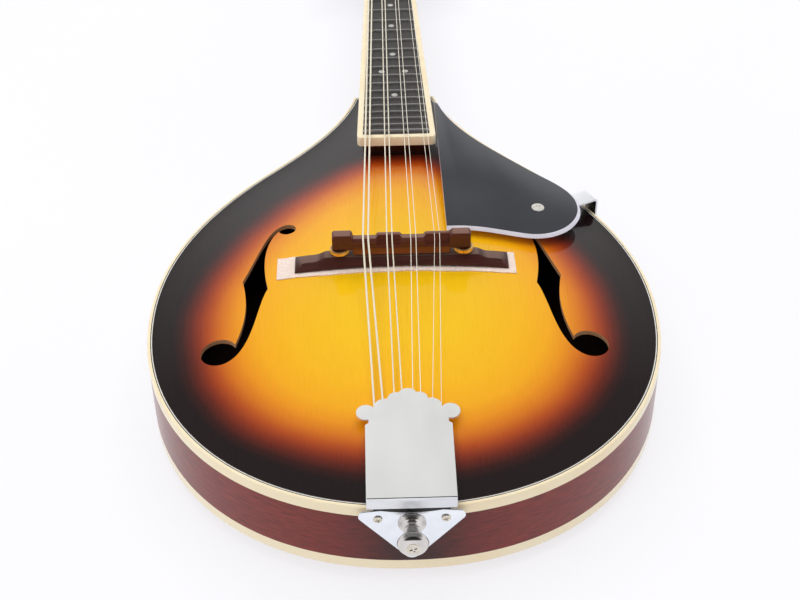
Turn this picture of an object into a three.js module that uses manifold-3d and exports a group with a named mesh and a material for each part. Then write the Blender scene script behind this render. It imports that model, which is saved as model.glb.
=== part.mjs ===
// An eight-string mandolin with a teardrop body, an arched top and two f-holes.
// Millimetres. +Y runs from the tail towards the headstock, +X is the treble side, +Z is up
// through the top. The origin lies on the flat of the back, straight below the bridge.

import * as THREE from "three";
import { mergeVertices } from "three/addons/utils/BufferGeometryUtils.js";
import Module from "manifold-3d";

const wasm = await Module();
wasm.setup();

// ---------------------------------------------------------------- driving dimensions

const GAP = 0.3; // clearance between pieces that touch on the real instrument

const SCALE_LENGTH = 352.4; // nut to bridge
const FRET_COUNT = 20;
const NECK_JOINT_Y = SCALE_LENGTH / 2; // the body starts at the twelfth fret

const RIM_HEIGHT = 40; // over both bindings
const BACK_ARCH = 8;
const TOP_ARCH = 12;
const ARCH_POWER = 1.25;
const BACK_EDGE_Z = BACK_ARCH;
const TOP_EDGE_Z = BACK_EDGE_Z + RIM_HEIGHT;
const PLATE_EDGE_THICKNESS = 3;
const PLATE_CENTRE_EXTRA = 1.2;

const BOUT_CENTRE_Y = -28;
const BOUT_HALF_WIDTH = 127.5;
const BOUT_LENGTH = 132;
const BOUT_POWER = 2.15; // a circle or ellipse would be 2
const ARCH_CENTRE = new THREE.Vector2(0, -25);

const RIM_THICKNESS = 2.8;
const BINDING_WIDTH = 1.6;
const TOP_BINDING_HEIGHT = 5.5;
const BACK_BINDING_HEIGHT = 6;
const LEDGE_INSET = BINDING_WIDTH + GAP;
const LINING_INSET = RIM_THICKNESS + GAP;
const LINING_WIDTH = 5.5;
const LINING_HEIGHT = 7.5;

const NECK_ANGLE = THREE.MathUtils.degToRad(3);
const BOARD_Z_AT_BRIDGE = TOP_EDGE_Z + 24; // the fingerboard's top plane above the bridge
const BOARD_THICKNESS = 5.5;
const BOARD_END_Y = 104;
const BOARD_END_HALF_WIDTH = 22.1;
const BOARD_NUT_HALF_WIDTH = 14.75;
const BOARD_BINDING = 3.2;
const FRET_HEIGHT = 1;
const FRET_WIDTH = 2;

const EXTENSION_HALF_WIDTH = 19; // the neck's tongue under the fingerboard's end
const EXTENSION_DEPTH = 18;
const ROD_CHANNEL_HALF_WIDTH = 2.6;
const ROD_RADIUS = 2;

const HEAD_ANGLE = THREE.MathUtils.degToRad(11);
const HEAD_THICKNESS = 13;
const HEAD_START = 3.6; // the nut's length along the neck
const OVERLAY_THICKNESS = 1.5;
const TUNER_FIRST = 34;
const TUNER_SPACING = 23;
const TUNERS_PER_SIDE = 4;
const POST_X = 21;
const POST_RADIUS = 3;
const POST_TOP = 13;
const POST_HOLE_RADIUS = 3.5;
const TUNER_SHEET = 1.2; // metal thickness of the tuner plates
const GEAR_RADIUS = 4.6;
const WORM_OFFSET = -7.2; // from a post's axis to its worm's axis, towards the nut
const WORM_Z = -17.3;
const SHAFT_RADIUS = 1.5;
const BUTTON_X = 45;

const STRING_Z_AT_BRIDGE = TOP_EDGE_Z + 28;
const STRING_COURSES = [-18, -6, 6, 18];
const STRING_PAIR_HALF = 1.3;
const TAIL_STRING_X = [-15.2, -11, -6, -2.2, 2.2, 6, 11, 15.2];
const NUT_COURSES = [-11.4, -3.8, 3.8, 11.4];
const NUT_PAIR_HALF = 0.9;
const STRING_RADII = [0.5, 0.5, 0.33, 0.33, 0.2, 0.2, 0.15, 0.15];
const STRING_NAMES = ["g1", "g2", "d1", "d2", "a1", "a2", "e1", "e2"];
const STRING_HOOK_Z = 54.8;
const STRING_TAIL_BEND = { y: -111, z: 56.3 };
const STRING_OVER_NUT = { front: 1.9, back: 1.5 };
const STRING_POST_Z = 6; // where a string meets its post, above the headstock's wood

const SADDLE_HALF_THICKNESS = 3;
const BASE_HALF_THICKNESS = { bottom: 6.5, top: 2.9 };
const POST_SPREAD = 31.5; // bridge posts either side of the centre line
const BRIDGE_POST_RADIUS = 1.5;
const WHEEL_RADIUS = 4.9;

const PLATE_METAL = 1; // sheet thickness of the tailpiece base
const COVER_METAL = 0.9;
const TAIL_PLATE_Y = -161.4; // outer face of the part that covers the rim
const COVER_REAR_Y = -162.6;
const COVER_REAR_Z = TOP_EDGE_Z + 8;
const COVER_SLOPE = 0.07;
const TAIL_SCREW_X = 15;
const TAIL_SCREW_Z = 43.2;
const END_PIN_Z = 40.3;
const END_PIN_HOLE_RADIUS = 3.2;
const SCREW_HOLE_RADIUS = 1.3;
const COVER_HALF_WIDTH = 19.8;
const COVER_SIDE_END_Y = -118.6;

const GUARD_TOP_Z = TOP_EDGE_Z + 15.5;
const GUARD_THICKNESS = 2;
const GUARD_TILT = 0.06; // drop per millimetre towards the treble side
const GUARD_LEFT_X = 24;
const GUARD_SCREW = new THREE.Vector2(73.8, 41.9);

// ---------------------------------------------------------------- materials

function finish(color, roughness, metalness = 0) {
  return new THREE.MeshStandardMaterial({ color, roughness, metalness });
}

const SUNBURST = finish(0xd98a1e, 0.15);
const MAHOGANY = finish(0x6b322c, 0.2);
const SPRUCE = finish(0xd9b380, 0.7);
const CREAM = finish(0xf5e4b8, 0.3);
const EBONY = finish(0x1c1917, 0.45);
const ROSEWOOD = finish(0x55332a, 0.5);
const BONE = finish(0xf2ead6, 0.4);
const BLACK_PLASTIC = finish(0x2e2f33, 0.15);
const FOAM = finish(0xf3dccb, 0.9);
const CHROME = finish(0xe2e3e4, 0.15, 1);
const STEEL = finish(0xcfcac0, 0.3, 1);
const BRASS = finish(0xc9a45c, 0.3, 1);
const PEARL = finish(0xf0ece0, 0.25);

// ---------------------------------------------------------------- solids, cuts and joins

const model = new THREE.Group();

function addPart(parent, name, geometry, material) {
  const mesh = new THREE.Mesh(geometry, material);
  mesh.name = name;
  parent.add(mesh);
  return mesh;
}

function bare(geometry) {
  const copy = geometry.clone();
  copy.deleteAttribute("normal");
  copy.deleteAttribute("uv");
  return mergeVertices(copy, 1e-4);
}

function toSolid(geometry) {
  const merged = bare(geometry);
  return new wasm.Manifold(new wasm.Mesh({
    numProp: 3,
    vertProperties: new Float32Array(merged.attributes.position.array),
    triVerts: new Uint32Array(merged.index.array),
  }));
}

function fromSolid(solid) {
  const mesh = solid.getMesh();
  const geometry = new THREE.BufferGeometry();
  geometry.setAttribute("position", new THREE.BufferAttribute(mesh.vertProperties, 3));
  geometry.setIndex(new THREE.BufferAttribute(mesh.triVerts, 1));
  geometry.computeVertexNormals();
  return geometry;
}

function join(...geometries) {
  return fromSolid(geometries.map(toSolid).reduce((sum, next) => sum.add(next)));
}

function cut(geometry, ...tools) {
  return fromSolid(tools.map(toSolid).reduce((rest, tool) => rest.subtract(tool), toSolid(geometry)));
}

function common(geometry, other) {
  return fromSolid(toSolid(geometry).intersect(toSolid(other)));
}

function signedVolume(points, triangles) {
  let volume = 0;
  for (let i = 0; i < triangles.length; i += 3) {
    const [a, b, c] = [points[triangles[i]], points[triangles[i + 1]], points[triangles[i + 2]]];
    volume += a.dot(new THREE.Vector3().crossVectors(b, c));
  }
  return volume / 6;
}

// A closed mesh from points and triangles, turned so that its faces point outwards.
function closedGeometry(points, triangles) {
  if (signedVolume(points, triangles) < 0) {
    triangles.reverse();
  }
  const geometry = new THREE.BufferGeometry().setFromPoints(points);
  geometry.setIndex(triangles);
  geometry.computeVertexNormals();
  return geometry;
}

function averagePoint(loop) {
  const sum = loop.reduce((total, point) => total.add(point), new THREE.Vector3());
  return sum.divideScalar(loop.length);
}

// A skin through loops of equal count, closed by a fan at each end.
function loft(loops, startPoint = averagePoint(loops[0]), endPoint = averagePoint(loops.at(-1))) {
  const count = loops[0].length;
  const points = [...loops.flat(), startPoint, endPoint];
  const start = points.length - 2;
  const end = points.length - 1;
  const last = (loops.length - 1) * count;
  const triangles = [];
  for (let i = 0; i < count; i++) {
    const j = (i + 1) % count;
    triangles.push(start, j, i, end, last + i, last + j);
    for (let row = 0; row < last; row += count) {
      triangles.push(row + i, row + j, row + count + j, row + i, row + count + j, row + count + i);
    }
  }
  return closedGeometry(points, triangles);
}

// An outline in the XY plane, made into a slab between two heights.
function slab(shape, lowZ, highZ, curveSegments = 6) {
  const options = { depth: highZ - lowZ, bevelEnabled: false, curveSegments };
  return new THREE.ExtrudeGeometry(shape, options).translate(0, 0, lowZ);
}

// A profile drawn as (x, z), made as thick as the two y values say.
function upright(shape, lowY, highY, curveSegments = 6) {
  const options = { depth: highY - lowY, bevelEnabled: false, curveSegments };
  return new THREE.ExtrudeGeometry(shape, options).rotateX(Math.PI / 2).translate(0, highY, 0);
}

// A profile drawn as (y, z), made as wide as the two x values say.
function sideways(shape, lowX, highX) {
  const axes = new THREE.Matrix4().makeBasis(
    new THREE.Vector3(0, 1, 0),
    new THREE.Vector3(0, 0, 1),
    new THREE.Vector3(1, 0, 0),
  );
  const options = { depth: highX - lowX, bevelEnabled: false };
  return new THREE.ExtrudeGeometry(shape, options).applyMatrix4(axes).translate(lowX, 0, 0);
}

function block(lowX, highX, lowY, highY, lowZ, highZ) {
  return new THREE.BoxGeometry(highX - lowX, highY - lowY, highZ - lowZ).translate(
    (lowX + highX) / 2,
    (lowY + highY) / 2,
    (lowZ + highZ) / 2,
  );
}

function rodZ(x, y, lowZ, highZ, radius, sides = 12) {
  return new THREE.CylinderGeometry(radius, radius, highZ - lowZ, sides)
    .rotateX(Math.PI / 2)
    .translate(x, y, (lowZ + highZ) / 2);
}

function rodY(x, z, lowY, highY, radius, sides = 12) {
  return new THREE.CylinderGeometry(radius, radius, highY - lowY, sides).translate(x, (lowY + highY) / 2, z);
}

function rodX(y, z, lowX, highX, radius, sides = 12) {
  return new THREE.CylinderGeometry(radius, radius, highX - lowX, sides)
    .rotateZ(-Math.PI / 2)
    .translate((lowX + highX) / 2, y, z);
}

// A turned piece about the Z axis, from (radius, z) pairs that start and end on the axis.
function turned(profile, sides = 12) {
  const points = profile.map(([radius, height]) => new THREE.Vector2(radius, height));
  return new THREE.LatheGeometry(points, sides).rotateX(Math.PI / 2);
}

// A shape symmetric about x = 0, from the treble half of its outline, bottom to top.
function mirroredShape(half) {
  const other = half.filter((point) => Math.abs(point.x) > 1e-6).reverse();
  return new THREE.Shape([...half, ...other.map((point) => new THREE.Vector2(-point.x, point.y))]);
}

function arcPoints(x, y, radius, startDegrees, endDegrees, count) {
  const start = THREE.MathUtils.degToRad(startDegrees);
  const end = THREE.MathUtils.degToRad(endDegrees);
  return new THREE.EllipseCurve(x, y, radius, radius, start, end, end < start).getPoints(count);
}

function bezier(points, count) {
  const [a, b, c, d] = points.map(([x, y]) => new THREE.Vector2(x, y));
  return new THREE.CubicBezierCurve(a, b, c, d).getPoints(count);
}

// ---------------------------------------------------------------- body outline

function lowerBout(steps) {
  const points = [];
  for (let i = 0; i <= steps; i++) {
    const angle = (Math.PI / 2) * (1 - i / steps);
    points.push(new THREE.Vector2(
      BOUT_HALF_WIDTH * Math.abs(Math.cos(angle)) ** (2 / BOUT_POWER),
      BOUT_CENTRE_Y - BOUT_LENGTH * Math.sin(angle) ** (2 / BOUT_POWER),
    ));
  }
  points[0].x = 0;
  return points;
}

// The treble half, from the tail round to the neck joint.
function halfOutline() {
  const upperBout = bezier([[127.5, -28], [127.5, 22.6], [105.3, 63.5], [71.2, 100.1]], 7);
  const shoulder = bezier([[71.2, 100.1], [47.2, 125.9], [30.6, 148.6], [24, NECK_JOINT_Y]], 5);
  return [...lowerBout(12), ...upperBout.slice(1), ...shoulder.slice(1)];
}

const OUTLINE = mirroredShape(halfOutline()).getPoints();

// The outline moved inwards; a negative inset moves it outwards.
function insetOutline(inset) {
  const count = OUTLINE.length;
  const normals = OUTLINE.map((point, i) => {
    const edge = OUTLINE[(i + 1) % count].clone().sub(point).normalize();
    return new THREE.Vector2(edge.y, -edge.x);
  });
  return OUTLINE.map((point, i) => {
    const before = normals[(i + count - 1) % count];
    const after = normals[i];
    const mitre = before.clone().add(after).divideScalar(1 + before.dot(after));
    return point.clone().addScaledVector(mitre, -inset);
  });
}

// A ring that follows the outline, from a profile of [inset, z] pairs.
function outlineRing(profile) {
  const loops = profile.map(([inset, z]) => insetOutline(inset).map((p) => new THREE.Vector3(p.x, p.y, z)));
  const count = OUTLINE.length;
  const triangles = [];
  for (let k = 0; k < profile.length; k++) {
    const row = k * count;
    const next = ((k + 1) % profile.length) * count;
    for (let i = 0; i < count; i++) {
      const j = (i + 1) % count;
      triangles.push(row + i, row + j, next + j, row + i, next + j, next + i);
    }
  }
  return closedGeometry(loops.flat(), triangles);
}

function outlinePrism(inset, lowZ, highZ) {
  return slab(new THREE.Shape(insetOutline(inset)), lowZ, highZ);
}

// ---------------------------------------------------------------- arching

// How far out a point lies: 0 at the arch's centre, 1 at the plate's edge.
function archFraction(x, y) {
  const edge = insetOutline(LEDGE_INSET);
  const ray = new THREE.Vector2(x, y).sub(ARCH_CENTRE);
  for (let i = 0; i < edge.length; i++) {
    const a = edge[i].clone().sub(ARCH_CENTRE);
    const b = edge[(i + 1) % edge.length].clone().sub(ARCH_CENTRE);
    if (a.cross(ray) >= 0 && ray.cross(b) >= 0) {
      return ray.cross(b.clone().sub(a)) / a.cross(b);
    }
  }
  return 0;
}

// The arch's height as a share of its full height; it is level inside the flat.
function archShare(fraction, flat = 0) {
  const share = (1 - fraction ** 2) / (1 - flat ** 2);
  return THREE.MathUtils.clamp(share, 0, 1) ** ARCH_POWER;
}

function topSurface(x, y) {
  return TOP_EDGE_Z + TOP_ARCH * archShare(archFraction(x, y));
}

function topUnderside(x, y) {
  const edge = TOP_EDGE_Z - PLATE_EDGE_THICKNESS;
  return edge + (TOP_ARCH - PLATE_CENTRE_EXTRA) * archShare(archFraction(x, y));
}

const ARCH_RINGS = [0.22, 0.5, 0.74, 0.9, 1];

// A plate whose two faces rise or fall from its edge: each face is [edge z, rise].
function archedPlate(inset, flat, lowerFace, upperFace) {
  const edge = insetOutline(inset);
  const ringAt = (fraction, [edgeZ, rise]) => edge.map((point) => {
    const flatPoint = ARCH_CENTRE.clone().lerp(point, fraction);
    return new THREE.Vector3(flatPoint.x, flatPoint.y, edgeZ + rise * archShare(fraction, flat));
  });
  const centreAt = ([edgeZ, rise]) => new THREE.Vector3(ARCH_CENTRE.x, ARCH_CENTRE.y, edgeZ + rise);
  const lower = ARCH_RINGS.map((fraction) => ringAt(fraction, lowerFace));
  const upper = ARCH_RINGS.map((fraction) => ringAt(fraction, upperFace)).reverse();
  return loft([...lower, ...upper], centreAt(lowerFace), centreAt(upperFace));
}

// ---------------------------------------------------------------- body pieces

// The treble f-hole: two eyes joined by a stem with a nick on either side.
function soundHoleShape() {
  const stemOut = bezier([[62, 40.4], [70.5, 37], [73, 18], [81.2, -6.8]], 5);
  const stemDown = bezier([[81.2, -6.8], [78, -22], [77, -36], [82.4, -54.7]], 4);
  const lowerEye = arcPoints(90.2, -58.9, 8.9, 151.7, -107.6, 12);
  const stemUp = bezier([[87.5, -67.4], [73, -62], [73.5, -28], [67.9, -14.9]], 6);
  const stemIn = bezier([[67.9, -14.9], [72.5, 6], [71, 26], [64.4, 35.2]], 5);
  const upperEye = arcPoints(59.8, 36.4, 4.6, -14.6, -298.8, 8);
  const outline = [stemOut, stemDown, lowerEye, stemUp, stemIn, upperEye];
  return new THREE.Shape(outline.flatMap((piece) => piece.slice(0, -1)));
}

function makeTopPlate() {
  const lowerFace = [TOP_EDGE_Z - PLATE_EDGE_THICKNESS, TOP_ARCH - PLATE_CENTRE_EXTRA];
  const plate = archedPlate(LEDGE_INSET, 0, lowerFace, [TOP_EDGE_Z, TOP_ARCH]);
  const trebleHole = slab(soundHoleShape(), TOP_EDGE_Z - 10, TOP_EDGE_Z + 20);
  return cut(plate, trebleHole, mirrorX(trebleHole));
}

// The mirror image across x = 0, with its faces still pointing outwards.
function mirrorX(geometry) {
  const copy = bare(geometry).scale(-1, 1, 1);
  copy.index.array.reverse();
  return copy;
}

const BACK_PLATE_THICKNESS = 3.5;
const BACK_INNER_Z = BACK_EDGE_Z + BACK_PLATE_THICKNESS;
const BACK_FLAT = 0.22;

function makeBackPlate() {
  return archedPlate(LEDGE_INSET, BACK_FLAT, [BACK_EDGE_Z, -BACK_ARCH], [BACK_INNER_Z, GAP - BACK_ARCH]);
}

function tailHoles() {
  return [
    rodY(0, END_PIN_Z, -170, -130, END_PIN_HOLE_RADIUS),
    rodY(-TAIL_SCREW_X, TAIL_SCREW_Z, -170, -146, SCREW_HOLE_RADIUS, 8),
    rodY(TAIL_SCREW_X, TAIL_SCREW_Z, -170, -146, SCREW_HOLE_RADIUS, 8),
  ];
}

const RIM_LOW_Z = BACK_INNER_Z + GAP;
const RIM_HIGH_Z = TOP_EDGE_Z - PLATE_EDGE_THICKNESS - GAP;

function makeRim() {
  const lowLedge = BACK_EDGE_Z + BACK_BINDING_HEIGHT + GAP;
  const highLedge = TOP_EDGE_Z - TOP_BINDING_HEIGHT - GAP;
  const ring = outlineRing([
    [0, lowLedge],
    [0, highLedge],
    [LEDGE_INSET, highLedge],
    [LEDGE_INSET, RIM_HIGH_Z],
    [RIM_THICKNESS, RIM_HIGH_Z],
    [RIM_THICKNESS, RIM_LOW_Z],
    [LEDGE_INSET, RIM_LOW_Z],
    [LEDGE_INSET, lowLedge],
  ]);
  return cut(ring, ...tailHoles());
}

function makeBinding(lowZ, highZ) {
  return outlineRing([[0, lowZ], [0, highZ], [BINDING_WIDTH, highZ], [BINDING_WIDTH, lowZ]]);
}

const BLOCK_HALF_WIDTH = 30;

// A wedge-shaped strip of wood in the corner between rim and plate.
function makeLining(cornerZ, direction) {
  return outlineRing([
    [LINING_INSET, cornerZ],
    [LINING_INSET + LINING_WIDTH, cornerZ],
    [LINING_INSET + LINING_WIDTH, cornerZ - direction * 2.5],
    [LINING_INSET, cornerZ - direction * LINING_HEIGHT],
  ]);
}

// The room that a lining needs where it passes the neck block.
function makeLiningNotch(cornerZ, direction) {
  const near = cornerZ + direction;
  const far = cornerZ - direction * (LINING_HEIGHT + GAP);
  const inner = LINING_INSET + LINING_WIDTH + GAP;
  return outlineRing([[LINING_INSET - 1, near], [inner, near], [inner, far], [LINING_INSET - 1, far]]);
}

function openAtTail(ring) {
  const half = BLOCK_HALF_WIDTH + GAP;
  return cut(ring, block(-half, half, -180, -120, 0, TOP_EDGE_Z));
}

const BLOCK_LOW_Z = RIM_LOW_Z + GAP;
const BLOCK_HIGH_Z = RIM_HIGH_Z - GAP;

function makeTailBlock() {
  const prism = outlinePrism(LINING_INSET, BLOCK_LOW_Z, BLOCK_HIGH_Z);
  const region = block(-BLOCK_HALF_WIDTH, BLOCK_HALF_WIDTH, -170, -138, 0, TOP_EDGE_Z);
  return cut(common(prism, region), ...tailHoles());
}

function makeNeckBlock() {
  const prism = outlinePrism(LINING_INSET, BLOCK_LOW_Z, BLOCK_HIGH_Z);
  const region = block(-40, 40, 138, 190, 0, TOP_EDGE_Z);
  const topNotch = makeLiningNotch(BLOCK_HIGH_Z, 1);
  const backNotch = makeLiningNotch(BLOCK_LOW_Z, -1);
  return cut(common(prism, region), topNotch, backNotch);
}

// A brace under the top that follows its underside and thins out towards its ends.
function makeToneBar(side) {
  const halfWidth = 3;
  const reach = 92;
  const splay = 4; // the bars come closer together towards the neck
  const loops = [];
  for (let i = 0; i <= 8; i++) {
    const along = -1 + i / 4;
    const y = along * reach;
    const x = side * (21 - along * splay);
    const top = Math.min(topUnderside(x - halfWidth, y), topUnderside(x + halfWidth, y)) - 2 * GAP;
    const bottom = top - 3 - 8 * (1 - along ** 2);
    loops.push([
      new THREE.Vector3(x - halfWidth, y, bottom),
      new THREE.Vector3(x + halfWidth, y, bottom),
      new THREE.Vector3(x + halfWidth, y, top),
      new THREE.Vector3(x - halfWidth, y, top),
    ]);
  }
  return loft(loops);
}

function addBody() {
  addPart(model, "top_plate", makeTopPlate(), SUNBURST);
  addPart(model, "back_plate", makeBackPlate(), MAHOGANY);
  addPart(model, "rim", makeRim(), MAHOGANY);
  const topBinding = makeBinding(TOP_EDGE_Z - TOP_BINDING_HEIGHT, TOP_EDGE_Z);
  addPart(model, "top_binding", cut(topBinding, ...tailHoles()), CREAM);
  addPart(model, "back_binding", makeBinding(BACK_EDGE_Z, BACK_EDGE_Z + BACK_BINDING_HEIGHT), CREAM);
  addPart(model, "top_lining", openAtTail(makeLining(BLOCK_HIGH_Z, 1)), SPRUCE);
  addPart(model, "back_lining", openAtTail(makeLining(BLOCK_LOW_Z, -1)), SPRUCE);
  addPart(model, "tail_block", makeTailBlock(), MAHOGANY);
  addPart(model, "neck_block", makeNeckBlock(), MAHOGANY);
  addPart(model, "tone_bar_bass", makeToneBar(-1), SPRUCE);
  addPart(model, "tone_bar_treble", makeToneBar(1), SPRUCE);
}

// ---------------------------------------------------------------- neck and headstock

// Neck frame: y along the strings' underside from the bridge, z = 0 on the fingerboard's top.
const neckFrame = new THREE.Group();
neckFrame.position.z = BOARD_Z_AT_BRIDGE;
neckFrame.rotation.x = -NECK_ANGLE;
model.add(neckFrame);

// Head frame: y along the headstock from the nut, z = 0 on the wood's face.
const NECK_TOP = -BOARD_THICKNESS - GAP;
const headFrame = new THREE.Group();
headFrame.position.set(0, SCALE_LENGTH + HEAD_START, NECK_TOP);
headFrame.rotation.x = -HEAD_ANGLE;
neckFrame.add(headFrame);

model.updateMatrixWorld(true);

function boardHalfWidth(y) {
  const share = (y - BOARD_END_Y) / (SCALE_LENGTH - BOARD_END_Y);
  return THREE.MathUtils.lerp(BOARD_END_HALF_WIDTH, BOARD_NUT_HALF_WIDTH, share);
}

// Stations of the shaft and heel: distance along the neck and depth below its flat top.
const NECK_STATIONS = [[172, 54], [184, 52], [190, 43], [197, 30], [205, 20.5], [216, 16.8], [250, 16],
  [300, 15], [340, 14.2], [SCALE_LENGTH + HEAD_START, 14]];

function makeNeckShaft() {
  const sides = 12;
  return loft(NECK_STATIONS.map(([y, depth]) => {
    const loop = [];
    for (let i = 0; i <= sides; i++) {
      const angle = (Math.PI * i) / sides;
      loop.push(new THREE.Vector3(
        boardHalfWidth(Math.min(y, SCALE_LENGTH)) * Math.cos(angle),
        y,
        NECK_TOP - depth * Math.sin(angle),
      ));
    }
    return loop;
  }));
}

function headHalfOutline() {
  return [
    new THREE.Vector2(14.6, -4),
    ...bezier([[14.9, 2], [17, 15], [31, 14], [33, 30]], 6),
    new THREE.Vector2(36, 118),
    ...bezier([[36, 118], [36.5, 130], [27, 131], [20, 134]], 4).slice(1),
    new THREE.Vector2(10, 138.4),
    new THREE.Vector2(0, 140),
  ];
}

function tunerPositions() {
  return Array.from({ length: TUNERS_PER_SIDE }, (_, i) => TUNER_FIRST + TUNER_SPACING * i);
}

function postHoles(lowZ, highZ) {
  const holes = [-POST_X, POST_X].map((x) => tunerPositions().map((y) => (
    rodZ(x, y, lowZ, highZ, POST_HOLE_RADIUS, 8)
  )));
  return holes.flat();
}

const ROD_POCKET = { halfWidth: 4.2, end: 19, depth: 7.5 };

function makeHeadstock() {
  const plate = slab(mirroredShape(headHalfOutline()), -HEAD_THICKNESS, 0);
  const pocket = block(-ROD_POCKET.halfWidth, ROD_POCKET.halfWidth, -2, ROD_POCKET.end, -ROD_POCKET.depth, 2);
  return cut(plate, pocket, ...postHoles(-HEAD_THICKNESS - 2, 2));
}

const HEEL_BOTTOM_Z = BACK_EDGE_Z + 2.3;

function makeNeck() {
  const tongue = { half: EXTENSION_HALF_WIDTH, low: NECK_TOP - EXTENSION_DEPTH };
  const extension = block(-tongue.half, tongue.half, BOARD_END_Y + 0.6, 180, tongue.low, NECK_TOP);
  const channelEnd = SCALE_LENGTH + HEAD_START + 4;
  const channelHalf = ROD_CHANNEL_HALF_WIDTH;
  const channel = block(-channelHalf, channelHalf, 181, channelEnd, NECK_TOP - ROD_POCKET.depth, 0);
  const wood = join(makeNeckShaft(), extension).applyMatrix4(neckFrame.matrixWorld);
  const head = makeHeadstock().applyMatrix4(headFrame.matrixWorld);
  const groove = channel.applyMatrix4(neckFrame.matrixWorld);
  const aboveTop = block(-30, 30, 90, SCALE_LENGTH + HEAD_START, NECK_TOP, 10);
  const body = archedPlate(-GAP, 0, [-20, -1], [TOP_EDGE_Z + GAP, TOP_ARCH]);
  const belowHeel = block(-40, 40, 150, 230, -40, HEEL_BOTTOM_Z);
  return cut(join(wood, head), aboveTop.applyMatrix4(neckFrame.matrixWorld), groove, body, belowHeel);
}

function makeHeelCap() {
  const heelHalfWidth = 8.2;
  const front = NECK_JOINT_Y + 2 * GAP;
  const shape = mirroredShape([
    new THREE.Vector2(heelHalfWidth, front),
    ...bezier([[heelHalfWidth, front + 3], [7.5, front + 8], [4, front + 11], [0, front + 11]], 6),
  ]);
  return slab(shape, BACK_EDGE_Z, HEEL_BOTTOM_Z - GAP);
}

function boardShape(inset) {
  const end = BOARD_END_Y + inset;
  const corner = 3;
  const endWidth = boardHalfWidth(end) - inset;
  return mirroredShape([
    new THREE.Vector2(0, end),
    new THREE.Vector2(endWidth - corner, end),
    new THREE.Vector2(endWidth - corner * 0.3, end + corner * 0.3),
    new THREE.Vector2(boardHalfWidth(end + corner) - inset, end + corner),
    new THREE.Vector2(BOARD_NUT_HALF_WIDTH - inset, SCALE_LENGTH),
  ]);
}

function makeFingerboard() {
  const inset = BOARD_BINDING + GAP;
  const wood = slab(boardShape(inset), -BOARD_THICKNESS, 0);
  const frets = [];
  for (let n = 1; n <= FRET_COUNT; n++) {
    const y = SCALE_LENGTH / 2 ** (n / 12);
    const half = boardHalfWidth(y) - inset - 0.3;
    frets.push(block(-half, half, y - FRET_WIDTH / 2, y + FRET_WIDTH / 2, -1, FRET_HEIGHT));
  }
  return join(wood, ...frets);
}

function makeFingerboardBinding() {
  const outer = slab(boardShape(0), -BOARD_THICKNESS, 0);
  const inside = boardShape(BOARD_BINDING);
  return cut(outer, slab(inside, -BOARD_THICKNESS - 1, 1), block(-12, 12, 340, 360, -10, 10));
}

function makeNut() {
  const profile = new THREE.Shape([
    new THREE.Vector2(SCALE_LENGTH + GAP, -BOARD_THICKNESS),
    new THREE.Vector2(SCALE_LENGTH + HEAD_START, -BOARD_THICKNESS),
    new THREE.Vector2(SCALE_LENGTH + HEAD_START, 0.6),
    new THREE.Vector2(SCALE_LENGTH + GAP, 1.1),
  ]);
  return sideways(profile, -BOARD_NUT_HALF_WIDTH, BOARD_NUT_HALF_WIDTH);
}

function makeOverlay() {
  const half = headHalfOutline().slice(1);
  half.unshift(new THREE.Vector2(15, 1.2));
  half[1].set(15, 3);
  const plate = slab(mirroredShape(half), GAP, GAP + OVERLAY_THICKNESS);
  const opening = block(-ROD_POCKET.halfWidth, ROD_POCKET.halfWidth, 4, ROD_POCKET.end, -1, 4);
  return cut(plate, opening, ...postHoles(-1, 4));
}

function makeRodCover() {
  const half = [
    new THREE.Vector2(7.5, 2.4),
    ...bezier([[7.5, 8], [7.5, 14], [5, 20], [0, 26]], 6),
  ];
  const low = 2 * GAP + OVERLAY_THICKNESS;
  return slab(mirroredShape(half), low, low + 1.5);
}

function makeTrussRod() {
  return rodY(0, NECK_TOP - 4, 182, SCALE_LENGTH + 6, ROD_RADIUS, 8);
}

function addNeck() {
  addPart(model, "neck", makeNeck(), MAHOGANY);
  addPart(model, "heel_cap", makeHeelCap(), EBONY);
  addPart(neckFrame, "fingerboard", makeFingerboard(), EBONY);
  addPart(neckFrame, "fingerboard_binding", makeFingerboardBinding(), CREAM);
  addPart(neckFrame, "nut", makeNut(), BONE);
  addPart(neckFrame, "truss_rod", makeTrussRod(), STEEL);
  addPart(headFrame, "headstock_overlay", makeOverlay(), EBONY);
  addPart(headFrame, "truss_rod_cover", makeRodCover(), BLACK_PLASTIC);
}

// ---------------------------------------------------------------- bridge

function makePad() {
  const halfLength = 61;
  const centreX = -2.8;
  const halfWidth = 9.3;
  const loops = [];
  for (let i = 0; i <= 10; i++) {
    const x = centreX + halfLength * (i / 5 - 1);
    const low = Math.max(...[-halfWidth, 0, halfWidth].map((y) => topSurface(x, y))) + GAP;
    loops.push([
      new THREE.Vector3(x, -halfWidth, low),
      new THREE.Vector3(x, halfWidth, low),
      new THREE.Vector3(x, halfWidth, low + 0.8),
      new THREE.Vector3(x, -halfWidth, low + 0.8),
    ]);
  }
  return loft(loops);
}

const BASE_TOP_Z = 65.3;

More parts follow.
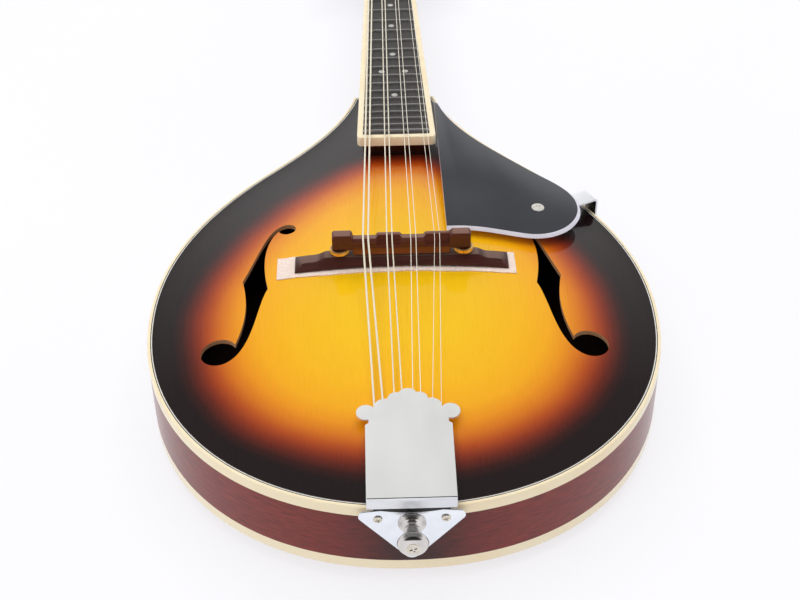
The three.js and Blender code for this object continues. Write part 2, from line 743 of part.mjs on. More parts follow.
// The base is arched to fit the top, lower towards its ends and wider at the foot than under the saddle.
function makeBridgeBase() {
  const halfLength = 54.5;
  const bottomMiddle = 61.6;
  const bottomDrop = 3.4;
  const footEdge = 0.8;
  const half = [
    [0, BASE_TOP_Z], [19, BASE_TOP_Z], [38, BASE_TOP_Z], [40.5, 63.9], [43.5, 62.9], [47, 62.5],
    [50.5, 62.1], [53, 61.3], [halfLength, 59.8],
  ];
  const stations = [...half.slice(1).reverse().map(([x, z]) => [-x, z]), ...half];
  const foot = BASE_HALF_THICKNESS.bottom;
  const seat = BASE_HALF_THICKNESS.top;
  const loops = stations.map(([x, top]) => {
    const low = bottomMiddle - bottomDrop * (x / halfLength) ** 2;
    return [
      [-foot, low], [foot, low], [foot, low + footEdge], [seat, top], [-seat, top], [-foot, low + footEdge],
    ].map(([y, z]) => new THREE.Vector3(x, y, z));
  });
  const sockets = [-POST_SPREAD, POST_SPREAD].map((x) => rodZ(x, 0, 62.2, 70, BRIDGE_POST_RADIUS + GAP, 10));
  return cut(loft(loops), ...sockets);
}

function makeBridgeSaddle() {
  const half = [
    [0, 66.6], [24.4, 66.6], [24.9, 69.6], [35, 69.6], [35, 77.4], [34, 78.2], [25.6, 78.2],
    [24.6, 77.4], [24.2, 75.2], [0, 75.2],
  ].map(([x, z]) => new THREE.Vector2(x, z));
  const wood = upright(mirroredShape(half), -SADDLE_HALF_THICKNESS, SADDLE_HALF_THICKNESS);
  const sockets = [-POST_SPREAD, POST_SPREAD].map((x) => rodZ(x, 0, 60, 75.4, BRIDGE_POST_RADIUS + 0.4, 10));
  return cut(wood, ...sockets);
}

function makeThumbwheel(x) {
  return cut(rodZ(x, 0, 66.6, 69.3, WHEEL_RADIUS, 20), rodZ(x, 0, 60, 80, BRIDGE_POST_RADIUS + 0.35, 10));
}

function addBridge() {
  addPart(model, "bridge_pad", makePad(), FOAM);
  addPart(model, "bridge_base", makeBridgeBase(), ROSEWOOD);
  addPart(model, "bridge_saddle", makeBridgeSaddle(), ROSEWOOD);
  for (const [side, x] of [["bass", -POST_SPREAD], ["treble", POST_SPREAD]]) {
    addPart(model, `bridge_post_${side}`, rodZ(x, 0, 62.5, 74, BRIDGE_POST_RADIUS, 10), BRASS);
    addPart(model, `thumbwheel_${side}`, makeThumbwheel(x), BRASS);
  }
}

// ---------------------------------------------------------------- tailpiece

const HOOK_Y = -131;

function makeTailpieceBase() {
  const halfWidth = 16.8;
  const rearZ = TOP_EDGE_Z + GAP;
  const frontZ = TOP_EDGE_Z + 6.35;
  const lowZ = TOP_EDGE_Z - 6;
  const strip = sideways(new THREE.Shape([
    new THREE.Vector2(TAIL_PLATE_Y, lowZ),
    new THREE.Vector2(TAIL_PLATE_Y + PLATE_METAL, lowZ),
    new THREE.Vector2(TAIL_PLATE_Y + PLATE_METAL, rearZ),
    new THREE.Vector2(-112, frontZ),
    new THREE.Vector2(-109.5, frontZ + 0.3),
    new THREE.Vector2(-109.5, frontZ + PLATE_METAL + 0.2),
    new THREE.Vector2(-112, frontZ + PLATE_METAL + 0.2),
    new THREE.Vector2(TAIL_PLATE_Y + 1, rearZ + PLATE_METAL),
    new THREE.Vector2(TAIL_PLATE_Y, rearZ + 0.3),
  ]), -halfWidth, halfWidth);
  const triangle = upright(mirroredShape([
    new THREE.Vector2(0, 17.4),
    new THREE.Vector2(3, 18.3),
    new THREE.Vector2(22.6, 42.3),
    new THREE.Vector2(23.6, 45),
    new THREE.Vector2(22.4, 47.3),
    new THREE.Vector2(19, 47.6),
    new THREE.Vector2(16.8, 46.6),
    new THREE.Vector2(0, 46.6),
  ]), TAIL_PLATE_Y, TAIL_PLATE_Y + PLATE_METAL);
  const hooks = TAIL_STRING_X.map((x) => block(x - 1, x + 1, HOOK_Y - 1.6, HOOK_Y, 51.5, 55.6));
  return cut(join(strip, triangle, ...hooks), ...tailHoles());
}

function coverHalfOutline() {
  return [
    new THREE.Vector2(COVER_HALF_WIDTH, COVER_REAR_Y),
    new THREE.Vector2(COVER_HALF_WIDTH, COVER_SIDE_END_Y),
    new THREE.Vector2(18.2, -117.4),
    ...arcPoints(19.3, -110.8, 4.5, -104, 150, 8),
    ...arcPoints(10.6, -107.6, 4.9, -11, 100, 4),
    ...arcPoints(5.2, -102.9, 4.1, 1, 105, 4),
    ...arcPoints(0, -100.9, 4.5, 26, 90, 3),
  ];
}

// A flat sheet whose front rises, with its rear edge and straight sides folded down.
function makeTailpieceCover() {
  const sheet = slab(mirroredShape(coverHalfOutline()), -COVER_METAL, 0);
  const half = COVER_HALF_WIDTH;
  const lip = block(-half, half, COVER_REAR_Y, COVER_REAR_Y + COVER_METAL, -6.6, -0.1);
  const sides = [-half, half - COVER_METAL].map((x) => (
    block(x, x + COVER_METAL, COVER_REAR_Y, COVER_SIDE_END_Y, -4, -0.1)
  ));
  const slope = new THREE.Matrix4().makeRotationX(Math.atan(COVER_SLOPE));
  const lift = new THREE.Matrix4().makeTranslation(0, COVER_REAR_Y, COVER_REAR_Z);
  const toOrigin = new THREE.Matrix4().makeTranslation(0, -COVER_REAR_Y, 0);
  return join(sheet, lip, ...sides).applyMatrix4(toOrigin).applyMatrix4(slope).applyMatrix4(lift);
}

// The button the strap hangs on, with its washer; it is pushed into the tail block.
function makeEndPin() {
  const profile = [
    [0, -22], [2.4, -22], [2.9, -0.4], [2.9, 0.7], [6.3, 0.7], [6.3, 1.6], [3.4, 2.4], [2.7, 4.2],
    [3.6, 6], [3.7, 7], [4.5, 7.6], [4.5, 8.8], [4.1, 9.4], [6.8, 11], [7, 12.6], [6, 14.4],
    [3.6, 15.7], [0, 15.9],
  ];
  return turned(profile, 16).rotateX(Math.PI / 2).translate(0, TAIL_PLATE_Y + 0.4, END_PIN_Z);
}

function makeTailScrew(x) {
  const profile = [[0, -11], [1, -9], [1, 0.7], [2.4, 0.7], [2, 1.6], [0, 2.1]];
  return turned(profile, 10).rotateX(Math.PI / 2).translate(x, TAIL_PLATE_Y + 0.4, TAIL_SCREW_Z);
}

function addTailpiece() {
  addPart(model, "tailpiece_base", makeTailpieceBase(), CHROME);
  addPart(model, "tailpiece_cover", makeTailpieceCover(), CHROME);
  addPart(model, "end_pin", makeEndPin(), CHROME);
  addPart(model, "tailpiece_screw_bass", makeTailScrew(-TAIL_SCREW_X), STEEL);
  addPart(model, "tailpiece_screw_treble", makeTailScrew(TAIL_SCREW_X), STEEL);
}

// ---------------------------------------------------------------- pickguard

// Guard frame: z = 0 on the guard's top face; x and y as in the body.
const guardFrame = new THREE.Group();
guardFrame.position.set(GUARD_LEFT_X, 0, GUARD_TOP_Z);
guardFrame.rotation.y = Math.atan(GUARD_TILT);
model.add(guardFrame);

function makePickguard() {
  const shape = new THREE.Shape();
  shape.moveTo(22.9, 146);
  shape.lineTo(24.3, 22.6);
  shape.bezierCurveTo(40, 25, 52, 20, 66, 17.5);
  shape.bezierCurveTo(84, 15, 97, 30, 97, 44);
  shape.bezierCurveTo(97, 60, 84, 68, 74, 78);
  shape.bezierCurveTo(52, 100, 32, 118, 25.8, 146);
  const hole = rodZ(GUARD_SCREW.x, GUARD_SCREW.y, -10, 10, 1.8, 10);
  return cut(slab(shape, -GUARD_THICKNESS, 0), hole).translate(-GUARD_LEFT_X, 0, 0);
}

// A bent strip under the guard that reaches over the rim and hooks below the back's edge.
function makeGuardBracket() {
  const reach = 35.8;
  const arm = { low: 55.6, high: 56.8 };
  const foot = { low: 5.6, high: 6.8 };
  const metal = 1.2;
  const profile = new THREE.Shape([
    [-7, arm.high], [-7, arm.low], [reach - metal, arm.low], [reach - metal, foot.high],
    [reach - 10, foot.high], [reach - 10, foot.low], [reach, foot.low], [reach, arm.high],
  ].map(([u, z]) => new THREE.Vector2(u, z)));
  const strip = cut(upright(profile, -5, 5), rodZ(0, 0, 50, 60, 2, 8));
  return strip.rotateZ(THREE.MathUtils.degToRad(28)).translate(GUARD_SCREW.x, GUARD_SCREW.y, 0);
}

function makeGuardScrew() {
  const profile = [[0, -7], [1.2, -6.4], [1.2, 0.35], [3.4, 0.35], [3, 1.2], [0, 1.7]];
  return turned(profile, 12).translate(GUARD_SCREW.x - GUARD_LEFT_X, GUARD_SCREW.y, 0);
}

function addPickguard() {
  addPart(guardFrame, "pickguard", makePickguard(), BLACK_PLASTIC);
  addPart(guardFrame, "pickguard_screw", makeGuardScrew(), STEEL);
  addPart(model, "pickguard_bracket", makeGuardBracket(), CHROME);
}

// ---------------------------------------------------------------- tuning machines

function tunerY(index) {
  return tunerPositions()[index];
}

const PLATE_BACK_Z = -HEAD_THICKNESS - GAP - TUNER_SHEET;

// The plate with two lugs for each worm shaft.
function makeTunerPlate(side) {
  const centre = side * POST_X;
  const halfWidth = 8;
  const plateTop = PLATE_BACK_Z + TUNER_SHEET;
  const sheet = block(centre - halfWidth, centre + halfWidth, 21, 114, PLATE_BACK_Z, plateTop);
  const holes = tunerPositions().map((y) => rodZ(centre, y, -20, -10, POST_HOLE_RADIUS - 0.1, 8));
  const lugs = tunerPositions().flatMap((y) => [-6.5, 6.5].map((offset) => {
    const x = centre + offset;
    const shaftY = y + WORM_OFFSET;
    return block(x - 1.5, x + 1.5, shaftY - 3, shaftY + 3, WORM_Z - 3, PLATE_BACK_Z + 0.2);
  }));
  const bores = tunerPositions().map((y) => (
    rodX(y + WORM_OFFSET, WORM_Z, centre - 9, centre + 9, SHAFT_RADIUS + GAP, 8)
  ));
  return cut(join(sheet, ...lugs), ...holes, ...bores);
}

// A worm shaft and its oval button, turned about the X axis.
function makeTunerKey(side, y) {
  const thin = SHAFT_RADIUS;
  const profile = [[0, 12], [thin, 12], [thin, 16.6], [2.2, 17.2], [2.2, 24.8], [thin, 25.4], [thin, 37],
    [2.6, 37], [2.6, 41], [0, 41]];
  const shaft = turned(profile, 8).rotateY(Math.PI / 2);
  const button = new THREE.SphereGeometry(1, 10, 6).scale(7, 7, 4).translate(BUTTON_X, 0, 0);
  const key = join(shaft, button);
  const placed = side > 0 ? key : key.rotateZ(Math.PI);
  return placed.translate(0, y + WORM_OFFSET, WORM_Z);
}

function makeTunerPost(x, y) {
  const gear = { low: -19.4, high: -15.2 };
  const profile = [[0, gear.low], [GEAR_RADIUS, gear.low], [GEAR_RADIUS, gear.high], [POST_RADIUS, gear.high],
    [POST_RADIUS, POST_TOP], [0, POST_TOP]];
  return turned(profile, 10).translate(x, y, 0);
}

function addTuners() {
  for (const [sideName, side] of [["bass", -1], ["treble", 1]]) {
    addPart(headFrame, `tuner_plate_${sideName}`, makeTunerPlate(side), CHROME);
    tunerPositions().forEach((y, i) => {
      addPart(headFrame, `tuner_key_${sideName}_${i + 1}`, makeTunerKey(side, y), PEARL);
      addPart(headFrame, `tuner_post_${sideName}_${i + 1}`, makeTunerPost(side * POST_X, y), CHROME);
    });
  }
}

// ---------------------------------------------------------------- strings

// Which post a string winds on: the outer strings of each side use the posts nearest the nut.
const STRING_POSTS = [0, 1, 2, 3, 3, 2, 1, 0];

function toBody(frame, x, y, z) {
  return new THREE.Vector3(x, y, z).applyMatrix4(frame.matrixWorld);
}

function stringRoute(index) {
  const radius = STRING_RADII[index];
  const pair = index % 2 === 0 ? -1 : 1;
  const course = Math.floor(index / 2);
  const side = index < TUNERS_PER_SIDE ? -1 : 1;
  const tailX = TAIL_STRING_X[index];
  const bridgeX = STRING_COURSES[course] + pair * STRING_PAIR_HALF;
  const nutX = NUT_COURSES[course] + pair * NUT_PAIR_HALF;
  const postX = side * (POST_X - POST_RADIUS - GAP - radius);
  const postY = tunerY(STRING_POSTS[index]);
  return [
    new THREE.Vector3(tailX, HOOK_Y + GAP, STRING_HOOK_Z),
    new THREE.Vector3(tailX, STRING_TAIL_BEND.y, STRING_TAIL_BEND.z),
    new THREE.Vector3(bridgeX, -2.5, STRING_Z_AT_BRIDGE),
    new THREE.Vector3(bridgeX, 1, STRING_Z_AT_BRIDGE),
    toBody(neckFrame, nutX, SCALE_LENGTH, STRING_OVER_NUT.front),
    toBody(neckFrame, nutX, SCALE_LENGTH + HEAD_START, STRING_OVER_NUT.back),
    toBody(headFrame, postX, postY, STRING_POST_Z),
  ];
}

function makeString(index) {
  const sides = 8;
  const radius = STRING_RADII[index];
  const loops = stringRoute(index).map((centre) => {
    const loop = [];
    for (let i = 0; i < sides; i++) {
      const angle = (2 * Math.PI * i) / sides;
      const offset = new THREE.Vector3(radius * Math.cos(angle), 0, radius * Math.sin(angle));
      loop.push(centre.clone().add(offset));
    }
    return loop;
  });
  return loft(loops);
}

function addStrings() {
  STRING_NAMES.forEach((name, index) => {
    addPart(model, `string_${name}`, makeString(index), STEEL);
  });
}

addBody();
addNeck();
addBridge();
addTailpiece();
addPickguard();
addTuners();
addStrings();

export default model;
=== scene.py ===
"""An eight-string mandolin lying on its back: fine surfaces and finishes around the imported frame.

Shapes are worked out in millimetres in the frame's axes and scaled to metres when a mesh is made.
+Y runs from the tail to the headstock, +X is the treble side and +Z is up.
"""

import math

import bmesh
import bpy
import numpy as np
from mathutils import Matrix, Vector
from mathutils.geometry import delaunay_2d_cdt


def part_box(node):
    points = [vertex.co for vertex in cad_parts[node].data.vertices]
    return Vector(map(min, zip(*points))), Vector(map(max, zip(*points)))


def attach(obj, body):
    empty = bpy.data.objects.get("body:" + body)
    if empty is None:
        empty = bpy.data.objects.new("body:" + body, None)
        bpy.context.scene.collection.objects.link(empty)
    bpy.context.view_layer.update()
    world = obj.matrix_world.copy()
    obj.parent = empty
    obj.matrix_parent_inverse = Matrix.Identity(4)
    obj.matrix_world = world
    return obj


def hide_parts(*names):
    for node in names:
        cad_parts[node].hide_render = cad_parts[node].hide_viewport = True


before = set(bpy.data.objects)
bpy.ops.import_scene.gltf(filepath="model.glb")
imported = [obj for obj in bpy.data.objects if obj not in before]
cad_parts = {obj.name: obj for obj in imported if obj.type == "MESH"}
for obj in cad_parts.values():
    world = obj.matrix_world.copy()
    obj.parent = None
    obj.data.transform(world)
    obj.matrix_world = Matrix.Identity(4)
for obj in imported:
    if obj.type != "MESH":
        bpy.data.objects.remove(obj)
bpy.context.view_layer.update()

MM = 0.001
BODY = "instrument"


def box_mm(node):
    low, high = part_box(node)
    return low / MM, high / MM


# ---------------------------------------------------------------- driving dimensions

SCALE_LENGTH = 352.4
TAIL_Y = box_mm("rim")[0].y
HALF_WIDTH = box_mm("rim")[1].x
TOP_Z = box_mm("top_binding")[1].z
BACK_Z = box_mm("back_binding")[0].z
TOP_ARCH = box_mm("top_plate")[1].z - TOP_Z
BACK_ARCH = BACK_Z - box_mm("back_plate")[0].z
ARCH_POWER = 1.25
BACK_FLAT = 0.22
BOUT_CENTRE_Y = -28.0
BOUT_POWER = 2.15
ARCH_CENTRE = np.array([0.0, -25.0])
NECK_JOINT_Y = SCALE_LENGTH / 2

BINDING_WIDTH = 1.6
PURFLING_WIDTHS = (0.4, 0.5, 0.4)
PLATE_INSET = BINDING_WIDTH + sum(PURFLING_WIDTHS)
RIM_THICKNESS = 2.8
TOP_BINDING_HEIGHT = 5.7
BACK_BINDING_HEIGHT = 6.2

BOARD_THICKNESS = 5.5
BOARD_END = 104.0
BOARD_END_HALF = 22.1
NUT_HALF = 14.75
BOARD_BINDING = 3.2
NUT_LENGTH = 3.6
FRET_COUNT = 20
DOT_FRETS = (3, 5, 7, 10, 12, 15)

HEAD_THICKNESS = 13.0
POST_X = 21.0
POST_RADIUS = 3.0
WRAP_RADIUS = 2.7
WRAP_Z = 6.4
HEEL_CAP_THICKNESS = 2.2
TUNERS = [34.0 + 23.0 * i for i in range(4)]
WORM_OFFSET = -7.2
WORM_Z = -17.3

NECK_FRAME = Matrix.Translation((0, 0, TOP_Z + 24)) @ Matrix.Rotation(math.radians(-3), 4, "X")
HEAD_FRAME = (
    NECK_FRAME
    @ Matrix.Translation((0, SCALE_LENGTH + NUT_LENGTH, -BOARD_THICKNESS - 0.3))
    @ Matrix.Rotation(math.radians(-11), 4, "X")
)

STRING_Z = TOP_Z + 28
STRING_RADII = [0.5, 0.5, 0.33, 0.33, 0.2, 0.2, 0.15, 0.15]
TAIL_STRING_X = [-15.2, -11, -6, -2.2, 2.2, 6, 11, 15.2]
STRING_POSTS = [0, 1, 2, 3, 3, 2, 1, 0]
STRING_NAMES = ["g1", "g2", "d1", "d2", "a1", "a2", "e1", "e2"]
PAIR_BRIDGE_X = (-18, -6, 6, 18)
PAIR_NUT_X = (-11.4, -3.8, 3.8, 11.4)

SIDES = (("bass", -1), ("treble", 1))


# ---------------------------------------------------------------- materials


def tone(red, green, blue):
    """A colour given as it looks on a screen, 0 to 255, as the linear colour that shaders use."""
    values = [c / 255 for c in (red, green, blue)]
    return [c / 12.92 if c <= 0.04045 else ((c + 0.055) / 1.055) ** 2.4 for c in values] + [1.0]


def map_range(nodes, links, value, settings):
    """Maps a value from one range to another: from low, from high, to low, to high."""
    node = nodes.new("ShaderNodeMapRange")
    for socket, number in zip(("From Min", "From Max", "To Min", "To Max"), settings):
        node.inputs[socket].default_value = number
    links.new(value, node.inputs["Value"])
    return node.outputs["Result"]


def colour_ramp(nodes, links, value, stops):
    """Turns a value into a colour by (position, colour) stops."""
    node = nodes.new("ShaderNodeValToRGB")
    elements = node.color_ramp.elements
    while len(elements) < len(stops):
        elements.new(1.0)
    for element, (position, colour) in zip(elements, stops):
        element.position = position
        element.color = colour
    links.new(value, node.inputs["Fac"])
    return node.outputs["Color"]


# Under a clear coat the coat carries the shine, so the layer below it has little of its own.
SPECULAR_UNDER_COAT = 0.12


class Finish:
    """A procedural material: one shader, and the nodes that vary its colour, gloss and relief."""

    def __init__(self, name, roughness, metallic=0.0, coat=0.0, coat_roughness=0.03):
        self.material = bpy.data.materials.new(name)
        self.material.use_nodes = True
        self.nodes = self.material.node_tree.nodes
        self.links = self.material.node_tree.links
        self.shader = self.nodes["Principled BSDF"]
        self.shader.inputs["Roughness"].default_value = roughness
        self.shader.inputs["Metallic"].default_value = metallic
        self.shader.inputs["Coat Weight"].default_value = coat
        self.shader.inputs["Coat Roughness"].default_value = coat_roughness
        if coat:
            self.shader.inputs["Specular IOR Level"].default_value = SPECULAR_UNDER_COAT

    def place(self, stretch=(1, 1, 1)):
        coordinates = self.nodes.new("ShaderNodeTexCoord")
        mapping = self.nodes.new("ShaderNodeMapping")
        mapping.inputs["Scale"].default_value = stretch
        self.links.new(coordinates.outputs["Object"], mapping.inputs["Vector"])
        return mapping.outputs["Vector"]

    def attribute(self, name, output="Fac"):
        node = self.nodes.new("ShaderNodeAttribute")
        node.attribute_name = name
        return node.outputs[output]

    def noise(self, scale, detail=3.0, vector=None, distortion=0.0):
        node = self.nodes.new("ShaderNodeTexNoise")
        node.inputs["Scale"].default_value = scale
        node.inputs["Detail"].default_value = detail
        node.inputs["Distortion"].default_value = distortion
        self.links.new(vector or self.place(), node.inputs["Vector"])
        return node.outputs["Fac"]

    def wave(self, scale, distortion, vector, detail=2.0, direction="X"):
        node = self.nodes.new("ShaderNodeTexWave")
        node.bands_direction = direction
        node.inputs["Scale"].default_value = scale
        node.inputs["Distortion"].default_value = distortion
        node.inputs["Detail"].default_value = detail
        self.links.new(vector, node.inputs["Vector"])
        return node.outputs["Fac"]

    def scaled(self, value, *settings):
        return map_range(self.nodes, self.links, value, settings)

    def ramp(self, value, stops):
        return colour_ramp(self.nodes, self.links, value, stops)

    def blended(self, factor, first, second, blend="MIX"):
        node = self.nodes.new("ShaderNodeMix")
        node.data_type = "RGBA"
        node.blend_type = blend
        sockets = [s for s in node.inputs if s.enabled]
        for socket, value in zip(sockets, (factor, first, second)):
            if isinstance(value, bpy.types.NodeSocket):
                self.links.new(value, socket)
            else:
                socket.default_value = value
        return [s for s in node.outputs if s.enabled][0]

    def colour(self, output):
        self.links.new(output, self.shader.inputs["Base Color"])

    def rough(self, output):
        self.links.new(output, self.shader.inputs["Roughness"])

    def relief(self, output, strength, distance):
        node = self.nodes.new("ShaderNodeBump")
        node.inputs["Strength"].default_value = strength
        node.inputs["Distance"].default_value = distance
        self.links.new(output, node.inputs["Height"])
        self.links.new(node.outputs["Normal"], self.shader.inputs["Normal"])


def speckled(name, low, high, roughness, scale=120.0, spread=0.08, relief=0.0, **shader):
    """A moulded or cast surface: two near colours, uneven gloss and, if asked, a fine relief."""
    finish = Finish(name, roughness, **shader)
    grain = finish.noise(scale, 4.0)
    finish.colour(finish.ramp(grain, [(0.3, low), (0.7, high)]))
    finish.rough(finish.scaled(grain, 0.25, 0.75, max(0.02, roughness - spread), roughness + spread))
    if relief:
        finish.relief(grain, relief, 0.0002)
    return finish.material


def brushed(name, low, high, roughness, stretch, relief=0.05, metallic=1.0):
    """Metal with fine polishing lines across the stretched axis."""
    finish = Finish(name, roughness, metallic=metallic)
    lines = finish.noise(60.0, 6.0, finish.place(stretch))
    finish.colour(finish.ramp(lines, [(0.3, low), (0.7, high)]))
    finish.rough(finish.scaled(lines, 0.3, 0.7, roughness * 0.8, roughness * 1.25))
    finish.relief(lines, relief, 0.00005)
    return finish.material


def grained(name, dark, light, roughness, stretch=(1, 0.06, 1), scale=900.0, coat=0.0, relief=0.15,
            painted_sheen_colour=None):
    """Straight-grained wood; the short axis of the stretch is the way that the grain runs.

    Faces that look up may have a colour of their own: a painted sheen, paler, standing in for the reflection
    of the bright room above.
    """
    finish = Finish(name, roughness, coat=coat)
    place = finish.place(stretch)
    fibres = finish.noise(scale, 5.0, place, 0.3)
    bands = finish.noise(scale / 9, 2.0, place, 0.5)
    mixed = finish.blended(0.5, finish.ramp(fibres, [(0.3, dark), (0.7, light)]),
                           finish.ramp(bands, [(0.3, dark), (0.75, light)]))
    if painted_sheen_colour:
        # Painted sheen: faces that look up are mixed towards a paler colour, as though they reflected the
        # light above.
        split = finish.nodes.new("ShaderNodeSeparateXYZ")
        finish.links.new(finish.nodes.new("ShaderNodeTexCoord").outputs["Normal"], split.inputs[0])
        sheen_mask = finish.scaled(split.outputs["Z"], 0.86, 0.97, 0.0, 0.9)
        mixed = finish.blended(sheen_mask, mixed, painted_sheen_colour)
    finish.colour(mixed)
    finish.rough(finish.scaled(fibres, 0.3, 0.7, roughness - 0.06, roughness + 0.08))
    finish.relief(fibres, relief, 0.0001)
    return finish.material


# The sunburst: how far in from the edge, in millimetres, and the colour there.
BURST = [
    (0.0, (26, 13, 13)),
    (13.5, (28, 14, 13)),
    (18.0, (54, 18, 13)),
    (22.5, (98, 30, 13)),
    (26.5, (138, 46, 13)),
    (31.5, (182, 75, 12)),
    (37.5, (218, 116, 10)),
    (45.0, (241, 151, 8)),
    (54.5, (252, 176, 8)),
    (70.0, (255, 190, 9)),
    (100.0, (255, 202, 18)),
]
BURST_REACH = BURST[-1][0]


def burst_top():
    """Lacquered spruce, shaded from amber at the centre to near black at the edge."""
    finish = Finish("sunburst_lacquer", 0.3, coat=1.0, coat_roughness=0.02)
    place = finish.place((1, 0.03, 1))
    grain = finish.noise(1400.0, 3.0, place, 0.2)
    cloud = finish.scaled(finish.noise(14.0, 2.0), 0.3, 0.7, -1.5, 1.5)
    depth = finish.nodes.new("ShaderNodeMath")
    finish.links.new(finish.attribute("burst"), depth.inputs[0])
    finish.links.new(cloud, depth.inputs[1])
    share = finish.scaled(depth.outputs[0], 0.0, BURST_REACH, 0.0, 1.0)
    shade = finish.ramp(share, [(d / BURST_REACH, tone(*colour)) for d, colour in BURST])
    streak = finish.ramp(grain, [(0.35, (0.86, 0.84, 0.8, 1)), (0.65, (1, 1, 1, 1))])
    finish.colour(finish.blended(0.22, shade, streak, "MULTIPLY"))
    finish.rough(finish.scaled(grain, 0.3, 0.7, 0.26, 0.36))
    return finish.material


def side_mahogany():
    """Lacquered mahogany whose grain runs round the sides; it darkens beside the tail and the neck."""
    finish = Finish("mahogany_sides_lacquer", 0.35, coat=0.5, coat_roughness=0.04)
    along = finish.attribute("along", "Vector")
    fibres = finish.noise(2.6, 6.0, along, 0.4)
    stripes = finish.noise(0.5, 3.0, along, 0.8)
    wood = finish.ramp(fibres, [
        (0.3, tone(84, 20, 15)), (0.5, tone(128, 38, 29)), (0.7, tone(152, 50, 38))])
    bands = finish.ramp(stripes, [(0.3, (0.72, 0.66, 0.64, 1)), (0.7, (1, 1, 1, 1))])
    stained = finish.blended(0.55, wood, bands, "MULTIPLY")
    shade = finish.ramp(finish.attribute("shade"), [(0.0, (1, 1, 1, 1)), (1.0, (0.16, 0.11, 0.12, 1))])
    finish.colour(finish.blended(1.0, stained, shade, "MULTIPLY"))
    finish.relief(fibres, 0.06, 0.0001)
    return finish.material


def foam():
    finish = Finish("packing_foam", 0.9)
    cells = finish.noise(900.0, 2.0)
    finish.colour(finish.ramp(cells, [(0.3, tone(240, 214, 200)), (0.7, tone(252, 236, 226))]))
    finish.relief(cells, 0.5, 0.0003)
    finish.shader.inputs["Subsurface Weight"].default_value = 0.15
    finish.shader.inputs["Subsurface Radius"].default_value = (0.002, 0.001, 0.001)
    return finish.material


def pearl_button():
    finish = Finish("pearl_button", 0.2, coat=1.0)
    cloud = finish.noise(260.0, 3.0, None, 1.5)
    finish.colour(finish.ramp(cloud, [
        (0.3, tone(214, 212, 204)), (0.5, tone(240, 238, 230)), (0.7, tone(226, 232, 230))]))
    return finish.material


def wound_string():
    finish = Finish("wound_string", 0.4, metallic=0.15)
    windings = finish.wave(1600.0, 0.0, finish.place(), 0.0, "Y")
    finish.colour(finish.ramp(windings, [(0.1, tone(226, 212, 186)), (0.3, tone(255, 248, 228))]))
    finish.relief(windings, 0.12, 0.0001)
    return finish.material


LACQUERED = {"stretch": (1, 0.05, 1), "scale": 500.0, "coat": 1.0, "relief": 0.05}
ALONG_BRIDGE = {"stretch": (0.07, 1, 1), "scale": 800.0, "coat": 0.25, "relief": 0.3}
METAL = {"metallic": 1.0}

CREAM = speckled("cream_binding_plastic", tone(255, 234, 195), tone(255, 242, 209), 0.28, 40.0, 0.05,
                 coat=0.6)
# Black for the purfling lines and the side dots; the same black is also painted shade on the tail strip's
# bend, under the guard bracket and along the cover's seam line.
BLACK_PURFLING_AND_PAINTED_SHADE = speckled("black_purfling_and_painted_shade", tone(18, 15, 15), tone(28, 24, 24), 0.3, 300.0)
WHITE_LINE = speckled("white_purfling", tone(226, 222, 212), tone(240, 238, 230), 0.3, 300.0)
TOP_WOOD = burst_top()
BARE_SPRUCE = grained("bare_spruce", tone(178, 126, 88), tone(216, 168, 124), 0.75)
CAVITY_WOOD = grained("shaded_cavity", tone(26, 16, 13), tone(46, 29, 22), 0.85)
SIDE_WOOD = side_mahogany()
BACK_WOOD = grained("mahogany_back", tone(86, 33, 30), tone(140, 60, 46), 0.32, **LACQUERED)
NECK_WOOD = grained("mahogany_neck", tone(78, 30, 27), tone(122, 50, 40), 0.34, **LACQUERED)
DARK_WOOD = grained("stained_tongue", tone(22, 14, 13), tone(44, 26, 22), 0.3, **LACQUERED)
INNER_WOOD = grained("inner_mahogany", tone(118, 78, 56), tone(166, 120, 88), 0.8)
EBONY = grained("ebony", tone(42, 40, 38), tone(76, 72, 69), 0.36, (1, 0.05, 1), 900.0, 0.3, 0.2)
OVERLAY = speckled("black_lacquer", tone(12, 12, 13), tone(22, 21, 22), 0.22, 60.0, 0.04, coat=1.0)
# The bridge base and the saddle are painted paler on the faces that look up: a painted sheen, not a colour of
# the rosewood.
ROSEWOOD = grained("rosewood_base", tone(46, 23, 20), tone(84, 44, 38), 0.42,
                   painted_sheen_colour=tone(122, 98, 88), **ALONG_BRIDGE)
SADDLE_WOOD = grained("rosewood_saddle", tone(66, 30, 22), tone(106, 54, 38), 0.42,
                      painted_sheen_colour=tone(138, 104, 92), **ALONG_BRIDGE)
SADDLE_FOOT_WOOD = grained("rosewood_saddle_foot", tone(92, 42, 22), tone(142, 78, 40), 0.42, **ALONG_BRIDGE)
BONE = speckled("polished_bone", tone(232, 222, 198), tone(246, 240, 224), 0.3, 200.0)
GUARD_BLACK = speckled("guard_black", tone(62, 63, 68), tone(71, 72, 77), 0.4, 25.0, 0.04, coat=0.25)
GUARD_WHITE = speckled("guard_white_layer", tone(226, 222, 236), tone(238, 236, 246), 0.35, 80.0)
FOAM = foam()
SATIN = brushed("satin_plate", tone(234, 234, 232), tone(241, 241, 239), 0.5, (1, 0.3, 1), 0.02, 0.35)
BRIGHT_PLATE = speckled("bright_plate", tone(232, 235, 242), tone(250, 251, 254), 0.34, 40.0, 0.01,
                        metallic=0.25)
CHROME = speckled("chrome_plate", tone(232, 236, 244), tone(242, 245, 250), 0.24, 160.0, 0.05, **METAL)
POLISHED = speckled("polished_chrome", tone(206, 202, 198), tone(224, 221, 217), 0.05, 160.0, 0.02, **METAL)
PALE_STEEL = speckled("pale_steel_screw", tone(222, 218, 208), tone(240, 237, 230), 0.3, 400.0, 0.06,
                      metallic=0.3)
NICKEL = speckled("nickel_screw", tone(206, 196, 180), tone(226, 220, 206), 0.16, 400.0, 0.06, **METAL)
